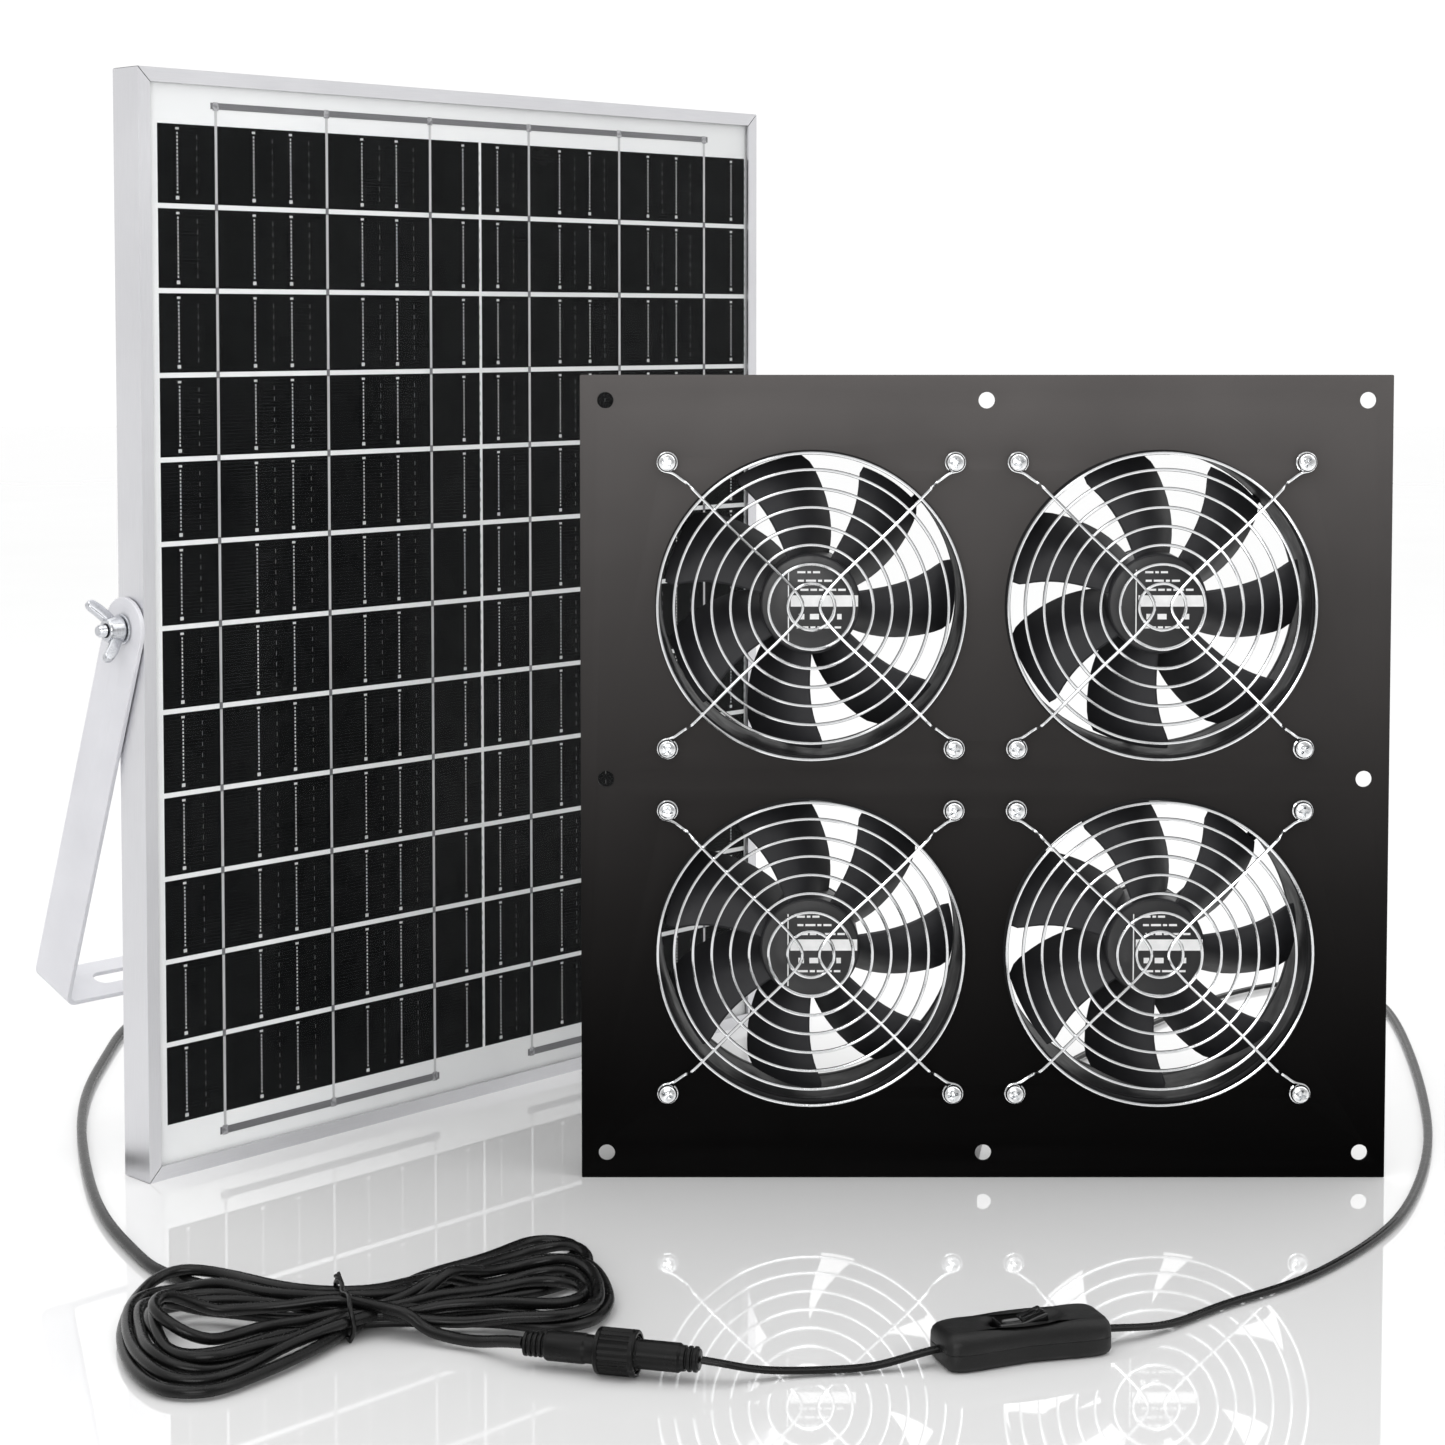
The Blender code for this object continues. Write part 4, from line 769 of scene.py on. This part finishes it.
def blade_shape():
    """One swept, cambered blade of the impeller as a closed thin skin."""
    radii = np.linspace(18.4, 58.3, 15)
    front = np.polyval(np.polyfit(BLADE_STATIONS[:, 0], BLADE_STATIONS[:, 1], 3), radii)
    rear = np.polyval(np.polyfit(BLADE_STATIONS[:, 0], BLADE_STATIONS[:, 2], 3), radii)
    chord = np.linspace(0, 1, 17)
    upper, lower = [], []
    for radius, first, last in zip(radii, front, rear):
        tip = max(0.0, (radius - 50) / 8.3)
        inset = 0.07 * tip ** 4
        top_row, low_row = [], []
        for u in chord:
            place = inset + (1 - 2 * inset) * u
            angle = radians(first + (last - first) * place)
            camber = (2.6 - 1.2 * tip) * sin(pi * place)
            c, s = cos(angle), sin(angle)
            middle = Vector((radius * c, radius * s, -7.5 - 22.5 * place + camber))
            half = 0.28 + 0.75 * sin(pi * min(1, u * 0.9 + 0.06)) ** 0.7 * (1 - 0.35 * tip)
            out = Vector((s * sin(BLADE_TILT), -c * sin(BLADE_TILT), cos(BLADE_TILT)))
            top_row.append(middle + out * half)
            low_row.append(middle - out * half)
        upper.append(top_row)
        lower.append(low_row)
    return lofted([top + low[::-1] for top, low in zip(upper, lower)])


def impeller_shape():
    hub = fillet(((0, -6.2), (19.0, -6.2), (19.2, -6.0), (20, -6.9), (20, -33.4), (18.4, -33.4), (18.4, -8.4),
                  (1.6, -8.4), (1.5, -34), (0, -34)), 0.5)
    blade = blade_shape()
    return join(turned(hub, 72), *[moved(blade, turn(360 * k / BLADES, "Z")) for k in range(BLADES)])


def guard_shape():
    """Concentric wire rings, and two bent wires that end in eyelets round the screws."""
    wires = [([(x, y, RING_HEIGHT) for x, y in circle(r, 112)], True) for r in GUARD_RINGS]
    for side in (-1, 1):
        low, high = EYELET_HEIGHT, SPOKE_HEIGHT
        half = []
        for degrees in range(590, 274, -15):
            a = radians(degrees)
            half.append((SCREW_OFFSET + EYELET_R * cos(a), SCREW_OFFSET + EYELET_R * sin(a), low))
        half += [(54.6, 52.3, low), (51.5, 50.2, low + 0.1), (48.9, 48.4, low + 0.9),
                 (47.0, 46.8, high - 0.9), (44.8, 44.6, high), (25, 24.9, high), (8.6, 9.0, high),
                 (5.6, 5.4, high), (3.9, 2.6, high)]
        whole = half + [(SPOKE_APEX, 0, high)] + [(x, -y, z) for x, y, z in reversed(half)]
        wires.append((smooth_curve([(side * x, y, z) for x, y, z in whole], 1.1), False))
    return tube(wires, WIRE_R, 2)


def screw_shape():
    """Pan-head screw with a cross recess."""
    head = fillet(((0, -9), (1.2, -9), (2, -8), (2, 2.66), (3.8, 2.66), (3.8, 3.2), (3.3, 4.5), (1.9, 5.0),
                   (0, 5.1)), 0.5)
    body = turned(head, 32)
    cross = []
    for angle in (20, 110):
        rows = []
        for z, half_length, half_width in ((3.2, 0.8, 0.3), (4.6, 2.0, 0.5), (5.6, 2.5, 0.62)):
            rows.append([(x, y, z) for x, y in ((half_length, half_width), (-half_length, half_width),
                                                (-half_length, -half_width), (half_length, -half_width))])
        cross.append(moved(lofted(rows), turn(angle, "Z")))
    for tool in cross:
        body = cut(body, tool)
    return body


def label_marks():
    """Plain bars where the hub's label is printed; no lettering."""
    marks = [((-7.8, -1.1), (18.9, 3.4)), ((-8.95, -15.4), (-8.5, 13.6))]
    rows = ((12.6, -5.2, (3.2, 1.4, 2.8)), (9.2, -5.0, (2.4, 4.0, 1.6, 3.2)),
            (5.6, -4.0, (3.2, 2.6, 1.8, 4.2, 3.0)), (-9.4, -5.4, (4.6, 2.0, 6.0, 2.6)))
    for height, x, lengths in rows:
        for length in lengths:
            marks.append(((x, height - 0.42), (x + length, height + 0.42)))
            x += length + 0.8
    marks += [((x, -6.2), (x + w, -4.0)) for x, w in ((-4.6, 2.2), (-0.2, 3.6), (10.6, 1.8))]
    return boxes([((a, b, -5.86), (c, d, -5.80)) for (a, b), (c, d) in marks])


def build_fan_unit():
    """The plate, then for each opening its fan frame, impeller, hub label and guard, and all the screws."""
    add_piece("plate_sheet", plate_shape(), "plate", FRONT, stands_for=("fan_plate",))
    label = turned(fillet(((0, -6.1), (19.1, -6.1), (19.1, -5.88), (0, -5.86)), 0.1), 64)
    shapes = (("duct_frame", frame_shape(), "fan_frame", "fan_frame", None),
              ("blade_wheel", impeller_shape(), "impeller", "impeller", "impeller"),
              ("hub_label", label, "label", None, "impeller"),
              ("hub_marks", label_marks(), "marks", None, "impeller"),
              ("wire_guard", guard_shape(), "guard_wire", "finger_guard", None))
    for number, (x, z) in enumerate(FAN_CENTRES, start=1):
        place = shift(x, 0, z) @ FRONT
        for name, shape, look, node, body in shapes:
            rides_on = f"{body}_{number}" if body else "root"
            stands_for = (f"{node}_{number}",) if node else ()
            add_piece(f"{name}_{number}", shape, look, place, rides_on, stands_for)
        recoat(f"stator_{number}", "motor")
    screw = screw_shape()
    number = 0
    for cx, cz in FAN_CENTRES:
        for x, y in corners():
            number += 1
            place = shift(cx + x, 0, cz + y) @ FRONT @ turn(number * 37 % 90, "Z")
            stands_for = (f"guard_screw_{number:02d}",)
            add_piece(f"pan_screw_{number:02d}", screw, "screw", place, stands_for=stands_for)


def build_wiring():
    """Twisted fan wires along the struts, and the sleeved trunk with its ties and its shrink sleeve."""
    trunk_y, branch_y, hub_y = 42.45, 40.75, 38.2
    wire_r, lay_y, lay_z, step, twist = 0.62, 0.62, 0.68, 1.1, 0.6
    red, black = [], []
    for fan_x, z in FAN_CENTRES:
        # the strut that the wires follow, and their heights on the way across to the trunk
        side = copysign(1, fan_x)
        angle, rises = (STRUT_TURNS[0], (43, 44, 44.2)) if side < 0 else (STRUT_TURNS[1], (31.8, 38, 43.4))
        out, up = cos(radians(angle)), sin(radians(angle))
        along_strut = [(fan_x + r * out, branch_y, z + r * up) for r in (8, 20, 40, 56)]
        across = [(side * x, branch_y, z + rise) for x, rise in zip((14, 7, 1.5), rises)]
        route = smooth_curve(along_strut + across, step)
        for strand, phase in ((red, 0), (black, pi)):
            path = [(route[0][0], hub_y, route[0][2] + 0.6 * cos(phase))]
            for k, (x, y, height) in enumerate(route):
                a = phase + k * twist
                path.append((x, y + lay_y * sin(a), height + lay_z * cos(a)))
            strand.append((path, False))
    add_piece("fan_wires_red", tube(red, wire_r, 2), "red_wire")
    add_piece("fan_wires_black", tube(black, wire_r, 2), "lead")
    sleeve = ((0, 275.2), (1.9, 275.2), (2.6, 274.6), (2.6, 59), (3.2, 58.6), (3.25, 45), (3.1, 33),
              (2.6, 30.2), (0, 30))
    parts = [turned(fillet(sleeve, 0.5), 32)]
    for z in (262, 218, 176, 118, 72):
        tie = turned_ring(((2.5, -1.2), (3.3, -1.2), (3.3, 1.2), (2.5, 1.2)), 0.3, 32)
        parts.append(moved(tie, shift(0, 0, z)))
        parts.append(moved(boxes([((-1.6, 2.6, -1.7), (1.6, 4.4, 1.7))]), shift(0, 0, z)))
    add_piece("harness_trunk", join(*parts), "lead", shift(0, trunk_y, 0), stands_for=("fan_harness",))


# ---- solar panel
CELL_COLUMNS = ((10.1, 176.0), (177.5, 343.4))
BUSBARS, BUSBAR_INSET, BUSBAR_PITCH, FINGER_PITCH = 9, 9.3, 18.45, 1.45
PANE_INSET, CELL_GAP = 1.8, 2
CELL_TOP, CELL_BOTTOM = 21.4, 419
ROW_GAPS = [53.65 + 33.317 * j for j in range(11)]
# depths behind the frame's front: the glass is drawn thin, as refraction makes it look
GLASS_DEPTH, CELL_DEPTH, LAMINATE_DEPTH = (1.3, 1.8), (2.0, 2.05), (2.07, 5.0)


def panel_boxes(items, front, back):
    """Thin boxes on the panel, each (left, right, top, bottom) with heights counted down from its top."""
    return boxes([((left, front, PANEL_HEIGHT - bottom), (right, back, PANEL_HEIGHT - top))
                  for left, right, top, bottom in items])


def build_cells():
    """Cells in two columns, their busbar prints, and the ribbons that join them."""
    tops = [CELL_TOP] + [gap + CELL_GAP / 2 for gap in ROW_GAPS]
    bottoms = [gap - CELL_GAP / 2 for gap in ROW_GAPS] + [CELL_BOTTOM]
    cells = [(*column, top, bottom) for column in CELL_COLUMNS for top, bottom in zip(tops, bottoms)]
    add_piece("solar_cells", panel_boxes(cells, *CELL_DEPTH), "silicon", PANEL)
    ribbons, dots, ticks, pads, links, ends = [], [], [], [], [], []
    for left, _ in CELL_COLUMNS:
        for line in range(BUSBARS):
            x = left + BUSBAR_INSET + BUSBAR_PITCH * line
            if line % 3 == 1:
                ends.append(x)
                ribbons.append((x - 0.6, x + 0.6, 13.4, 427))
                links += [(x - 0.75, x + 0.75, gap - 1.5, gap + 1.5) for gap in ROW_GAPS]
                continue
            for top, bottom in zip(tops, bottoms):
                ends_at = ((top + 1.3, top + 2.2), (bottom - 3, bottom - 1.6))
                pads += [(x - 0.8, x + 0.8, *pad) for pad in ends_at]
                dots += [(x - 0.3, x + 0.3, y, y + 0.8)
                         for y in np.arange(top + 3.2, bottom - 4.2, FINGER_PITCH)]
                middle = x + BUSBAR_PITCH / 2
                ticks += [(middle - 0.12, middle + 0.12, y, y + 1.6)
                          for y in np.arange(top + 4, bottom - 4, FINGER_PITCH * 3)]
    front, back = CELL_DEPTH[0] - 0.02, CELL_DEPTH[0] + 0.01
    buses = [(ends[first] - 2.4, ends[last] + 2.4, top, bottom) for first, last, top, bottom in
             ((0, 5, 12.2, 14.8), (0, 2, 425.2, 428.2), (3, 5, 425.2, 428.2))]
    for name, items, rise, sink, look in (
        ("cell_ribbons", ribbons, 0.10, 0.02, "ribbon"), ("ribbon_links", links, 0.12, 0.02, "bus"),
        ("busbar_dots", dots, 0, 0, "paste"), ("busbar_ticks", ticks, 0, 0, "bus"),
        ("solder_pads", pads, 0, 0, "paste"), ("bus_ribbons", buses, 0.08, -0.03, "bus"),
    ):
        add_piece(name, panel_boxes(items, front - rise, back - sink), look, PANEL)
    joints = []
    for x in ends:
        for top, bottom in ((11.9, 15.4), (424.6, 428.6)):
            outline = fillet([(x - 1.5, -bottom), (x + 1.5, -bottom), (x + 1.3, -top), (x - 1.4, -top)], 0.7,
                             closed=True)
            joints.append(sheet([outline], 0, 0.16, 0.06))
    place = PANEL @ shift(0, CELL_DEPTH[0], PANEL_HEIGHT) @ FRONT
    add_piece("solder_joints", join(*joints), "solder", place)


def build_panel():
    for name, look in (("left", "panel_frame"), ("right", "panel_frame"), ("top", "rail_across"),
                       ("bottom", "rail_across")):
        rail = recoat(f"rail_{name}", look)
        bevel = rail.modifiers.new("edge", "BEVEL")
        bevel.width, bevel.segments, bevel.limit_method = 0.22 * MM, 2, "ANGLE"
        bevel.harden_normals = False
    rim = rounded_rectangle(PANEL_WIDTH / 2 - PANE_INSET, PANEL_HEIGHT / 2 - PANE_INSET, 1, 3)
    middle = PANEL @ shift(PANEL_WIDTH / 2, 0, PANEL_HEIGHT / 2) @ FRONT
    for name, node, look, (near, far) in (("cover_glass", "panel_glass", "glass", GLASS_DEPTH),
                                          ("back_laminate", "cell_laminate", "cells", LAMINATE_DEPTH)):
        add_piece(name, sheet([rim], -far, -near, 0.1), look, middle, stands_for=(node,))
    build_cells()


BOX_HALF_WIDTH, BOX_HALF_HEIGHT, BOX_MIDDLE, BOX_BACK, LID_BACK, GLAND_DEPTH = 31, 38, 86, -14.8, -16.9, 10.3


def build_junction_box():
    """Shallow box with a screwed, ribbed lid, and a ribbed gland under it."""
    place = PANEL @ shift(PANEL_WIDTH / 2, 0, BOX_MIDDLE) @ FRONT
    outline = rounded_rectangle(BOX_HALF_WIDTH, BOX_HALF_HEIGHT, 3)
    shell = [sheet([outline], BOX_BACK, -5.3, 0.8, 3)]
    shell += [moved(sheet([rounded_rectangle(4, 5, 1.5)], -13.6, -5.4, 0.4), shift(x, y, 0))
              for x in (-33.4, 33.4) for y in (-20, 20)]
    add_piece("box_shell", join(*shell), "box_plastic", place, stands_for=("junction_box",))
    relief = (LID_BACK - 0.4, LID_BACK + 0.3, 0.2)
    lid = [sheet([outline], LID_BACK, -15.1, 0.6, 3),
           sheet([rounded_rectangle(25, 32, 2), rounded_rectangle(23.6, 30.6, 1.6)], *relief)]
    lid += [sheet([rounded_rectangle(17, 0.8, 0.7, 3, (0, y))], *relief) for y in range(-16, 17, 8)]
    add_piece("box_lid", join(*lid), "box_plastic", place, stands_for=("junction_box_lid",))
    head = turned(fillet(((0, -0.2), (2.2, -0.2), (2.2, 0.5), (1.4, 1.1), (0, 1.2)), 0.3), 24)
    head = cut(head, boxes([((-3, -0.3, 0.6), (3, 0.3, 2))]))
    heads = [moved(head, shift(x, y, -16.8) @ turn(180, "X") @ turn(30 * i, "Z"))
             for i, (x, y) in enumerate(((-27.5, -34.5), (27.5, -34.5), (27.5, 34.5), (-27.5, 34.5)))]
    add_piece("lid_screws", join(*heads), "plated_steel", place)
    gland = fillet(((0, 33.7), (3.1, 33.7), (3.3, 34.3), (3.3, 35.6), (2.9, 35.9), (2.9, 36.6), (3.4, 36.9),
                    (3.4, 38.2), (3.0, 38.5), (3.0, 39.2), (3.9, 39.6), (4.5, 40.6), (4.5, 45), (4.1, 45.3),
                    (4.1, 46.2), (4.5, 46.5), (4.5, 47.7), (0, 47.7)), 0.2)
    return add_piece("lead_gland", turned(gland, 72, ridges=(18, 0.35, 40.7, 44.9)), "box_plastic",
                     PANEL @ shift(PANEL_WIDTH / 2, GLAND_DEPTH, 0), stands_for=("cable_gland",))


# ---- stand
STRAP_HALF, STRAP_THICK = 12.5, 2
ARM_LINE, ARM_BOTTOM, BEND_R = 176.4, -163, 4
FOOT_SLOT = 145  # each foot slot's distance from the middle


def fold_strap(distance, offset):
    """Place of a point of the flat strap once it is bent into a U: (x, z)."""
    half, bend = ARM_LINE - BEND_R, BEND_R * pi / 2
    side, run = copysign(1, distance), abs(distance)
    if run <= half:
        return side * run, ARM_BOTTOM - offset
    if run < half + bend:
        angle = (run - half) / BEND_R
        return (side * (half + (BEND_R + offset) * sin(angle)),
                ARM_BOTTOM + BEND_R - (BEND_R + offset) * cos(angle))
    return side * (ARM_LINE + offset), ARM_BOTTOM + BEND_R + run - half - bend


def bracket_shape():
    """The strap is cut flat, with round ends, and then bent into the U."""
    half, bend = ARM_LINE - BEND_R, BEND_R * pi / 2
    pivot = half + bend - ARM_BOTTOM - BEND_R
    outline = []
    for side in (1, -1):
        for step in range(25):
            angle = radians(-90 + 7.5 * step)
            x, y = pivot + STRAP_HALF * cos(angle), STRAP_HALF * sin(angle)
            outline.append((side * x, side * y))
    holes = [circle(2.8, 28, (side * pivot, 0)) for side in (-1, 1)]
    holes += [rounded_rectangle(11, 4.25, 4.24, 8, (side * FOOT_SLOT, 0)) for side in (-1, 1)]
    mesh = sheet([outline, *holes], -STRAP_THICK / 2, STRAP_THICK / 2, 0.3)
    bm = bmesh.new()
    bm.from_mesh(mesh)
    for side in (-1, 1):
        for step in range(9):
            everything = bm.verts[:] + bm.edges[:] + bm.faces[:]
            fold = (side * (half + bend * step / 8), 0, 0)
            bmesh.ops.bisect_plane(bm, geom=everything, dist=1e-5, plane_co=fold, plane_no=(1, 0, 0))
    for vert in bm.verts:
        x, z = fold_strap(vert.co.x, -vert.co.z)
        vert.co = (x, vert.co.y, z)
    return baked(bm)


def wing_nut_shape():
    hub = ((2.75, 4.0), (5.2, 4.0), (5.5, 4.5), (4.6, 9.6), (4.1, 10.6), (2.75, 10.6))
    parts = [turned_ring(hub, 0.5, 40)]
    wing = fillet(((3.2, 4.2), (6.5, 5.6), (11, 9.2), (13.6, 12.4), (12.8, 15.1), (10.2, 15.0), (7.2, 12.2),
                   (3.2, 9.2)), 1.5, 4, closed=True)
    blade = moved(sheet([wing], -1.6, 1.6, 0.75, 3), turn(90, "X"))
    parts += [blade, moved(blade, turn(180, "Z"))]
    return join(*parts)


def bolt_shape():
    profile = [(0, -5), (3, -5), (4, -4.2), (4, -1.82), (2.5, -1.82), (2.5, 3.9), (2.1, 4.1), (2.1, 10.4)]
    for turns in range(4):
        crest = 10.7 + 0.75 * turns
        profile += [(2.5, crest + 0.25), (2.12, crest + 0.62)]
    profile += [(1.9, 14.0), (0, 14.0)]
    return turned(profile, 32)


def build_stand():
    """The U strap, and on each side its pivot bolt, washer and wing nut."""
    add_piece("stand_strap", bracket_shape(), "stand", BRACKET, "stand_bracket", ("stand_bracket",))
    nut, bolt = wing_nut_shape(), bolt_shape()
    washer = turned_ring(((2.7, 2.75), (6.2, 2.75), (6.2, 3.7), (2.7, 3.7)), 0.25, 40)
    for side, name in ((-1, "left"), (1, "right")):
        axis = PANEL @ shift(PANEL_WIDTH / 2 * (1 + side), PIVOT_DEPTH, PIVOT_HEIGHT)
        plain = axis @ turn(side * 90, "Y")
        add_piece(f"bolt_{name}", bolt, "plated_steel", plain, stands_for=(f"pivot_bolt_{name}",))
        add_piece(f"washer_{name}", washer, "plated_steel", plain)
        turned_place = axis @ turn(180 - WING_TURN, "X") @ turn(side * 90, "Y")
        node = f"wing_nut_{name}"
        add_piece(f"winged_{name}", nut, "plated_steel", turned_place, node, (node,))


# ---- connector and switch
def ribbed(start, stop, count, outer, inner):
    """Profile of a ribbed strain relief between two places along the axis."""
    points = []
    pitch = (stop - start) / count
    for i in range(count):
        z = start + pitch * i
        points += [(outer, z + pitch * 0.05), (outer, z + pitch * 0.6), (inner, z + pitch * 0.68),
                   (inner, z + pitch * 0.97)]
    return points


def build_connector():
    """Plug and socket halves with ribbed strain reliefs, and the knurled ring that draws them together."""
    male = [(0, 0), (3.0, 0), *ribbed(0.1, 7.0, 4, 4.1, 3.3), (4.4, 7.3), (4.9, 8.2), (4.9, 20.5),
            (4.6, 21.2), (4.6, 26.6), (5.9, 26.9), (5.9, 28.3), (3.4, 28.5), (3.4, 36), (0, 36)]
    parts = [turned(fillet(male, 0.25), 72)]
    for i in range(5):
        for j in range(-2, 3):
            angle = 90 + j * 9 + (i % 2) * 4.5
            bump = turned(fillet(((0, -0.3), (0.42, -0.3), (0.36, 0.16), (0, 0.24)), 0.1), 12)
            place = shift(0, 0, 14.6 + i * 0.95) @ turn(angle, "Z") @ shift(4.9, 0, 0) @ turn(90, "Y")
            parts.append(moved(bump, place))
    plug = add_piece("plug_half", join(*parts), "connector", CONNECTOR, stands_for=("male_connector",))
    sleeve = fillet(((5.35, 24.9), (7.0, 24.9), (7.45, 25.4), (7.45, 26.3), (7.5, 26.5), (7.5, 36.6),
                     (7.45, 36.8), (7.45, 38.0), (7.1, 38.5), (6.2, 38.5), (6.2, 26.6), (5.35, 26.6)), 0.2,
                    closed=True)
    collar = add_piece("knurled_ring", turned(sleeve, 240, closed=True, ridges=(24, 0.5, 26.4, 36.7)),
                       "connector", CONNECTOR, "coupling_ring", ("coupling_ring",))
    female = [(0, 37), (3.8, 37), (3.8, 28.7), (5.2, 28.7), *ribbed(28.9, 38.6, 7, 5.7, 5.2), (4.7, 38.9),
              (4.7, 52.4), (4.2, 53.2), *ribbed(53.4, 59.3, 3, 4.1, 3.4), (0, 59.4)]
    parts = [turned(fillet(female, 0.25), 72)]
    for i in range(5):
        bar = sheet([rounded_rectangle(0.32, 2.0 - 0.18 * i, 0.3, 3)], -0.3, 0.32, 0.12)
        parts.append(moved(bar, turn(90, "Z") @ shift(4.55, 0, 42.6 + i * 1.25) @ turn(90, "Y")))
    socket = add_piece("socket_half", join(*parts), "connector", CONNECTOR, stands_for=("female_connector",))
    return plug, collar, socket


SWITCH_SIDES, SWITCH_HALF, SWITCH_HALF_WIDTH, WAIST = 96, 29.5, 11, 2.3
ROCKER_AXIS, ROCKER_HALF_WIDTH, ROCKER_TILT = 9.5, 4.1, 8


def switch_ring(half_x, half_y, waist, power, z):
    """A waisted superellipse outline at one height."""
    points = []
    for i in range(SWITCH_SIDES):
        angle = 2 * pi * i / SWITCH_SIDES
        c, s = cos(angle), sin(angle)
        x = half_x * copysign(abs(c) ** (2 / power), c)
        y = half_y * copysign(abs(s) ** (2 / power), s)
        y *= 1 - waist / half_y * exp(-(x / (half_x * 0.55)) ** 2)
        points.append((x, y, z))
    return points


def build_switch():
    """Waisted shell in two halves, with the rocker in its dished window."""
    base = [switch_ring(SWITCH_HALF - i, SWITCH_HALF_WIDTH - i, WAIST, 7, z) for z, i in
            ((0.0, 2.2), (0.3, 1.2), (1.1, 0.4), (2.2, 0), (5.95, 0), (6.05, 0.1))]
    low_shell = add_piece("switch_shell_low", lofted(base), "switch", SWITCH, stands_for=("switch_base",))
    cover = [switch_ring(SWITCH_HALF - i, SWITCH_HALF_WIDTH - i, WAIST, p, z) for z, i, p in
             ((6.1, 0.1, 7), (6.2, 0, 7), (8.8, 0.1, 7), (10.4, 0.5, 6.5), (11.5, 1.3, 6), (12.2, 2.5, 5.5),
              (12.5, 4.0, 5))]
    cover += [switch_ring(x, y, 0, p, z) for x, y, p, z in
              ((18.5, 8.0, 2.4, 12.5), (15.6, 7.4, 2.2, 12.5), (14.8, 7.0, 2.2, 12.3), (12.8, 6.2, 2.4, 11.2),
               (11.0, 5.4, 3.2, 10.4), (10.0, 4.95, 6, 10.05), (9.8, 4.8, 9, 9.9), (9.8, 4.8, 9, 7.4))]
    top_shell = add_piece("switch_shell_top", lofted(cover), "switch", SWITCH, stands_for=("switch_cover",),
                          angle=50)
    side = fillet(((-8.6, -1.6), (8.6, -1.6), (8.6, 4.2), (5.4, 3.7), (0, 2.8), (-5.4, 3.7), (-8.6, 4.2)),
                  0.8, 4, closed=True)
    rocker = moved(sheet([side], -ROCKER_HALF_WIDTH, ROCKER_HALF_WIDTH, 0.7, 3), turn(90, "X"))
    place = SWITCH @ shift(0, 0, ROCKER_AXIS) @ turn(-ROCKER_TILT, "Y")
    key = add_piece("rocker_key", rocker, "rocker", place, "rocker", ("rocker",), angle=50)
    return low_shell, top_shell, key


# ---- build
build_stage()
panel_cord, panel_length, fan_cord, fan_path, fan_length, strands = build_cords()
tie = build_tie(strands)
plug, collar, socket = build_connector()
switch_pieces = build_switch()
gland = build_junction_box()
build_fan_unit()
build_wiring()
build_panel()
build_stand()
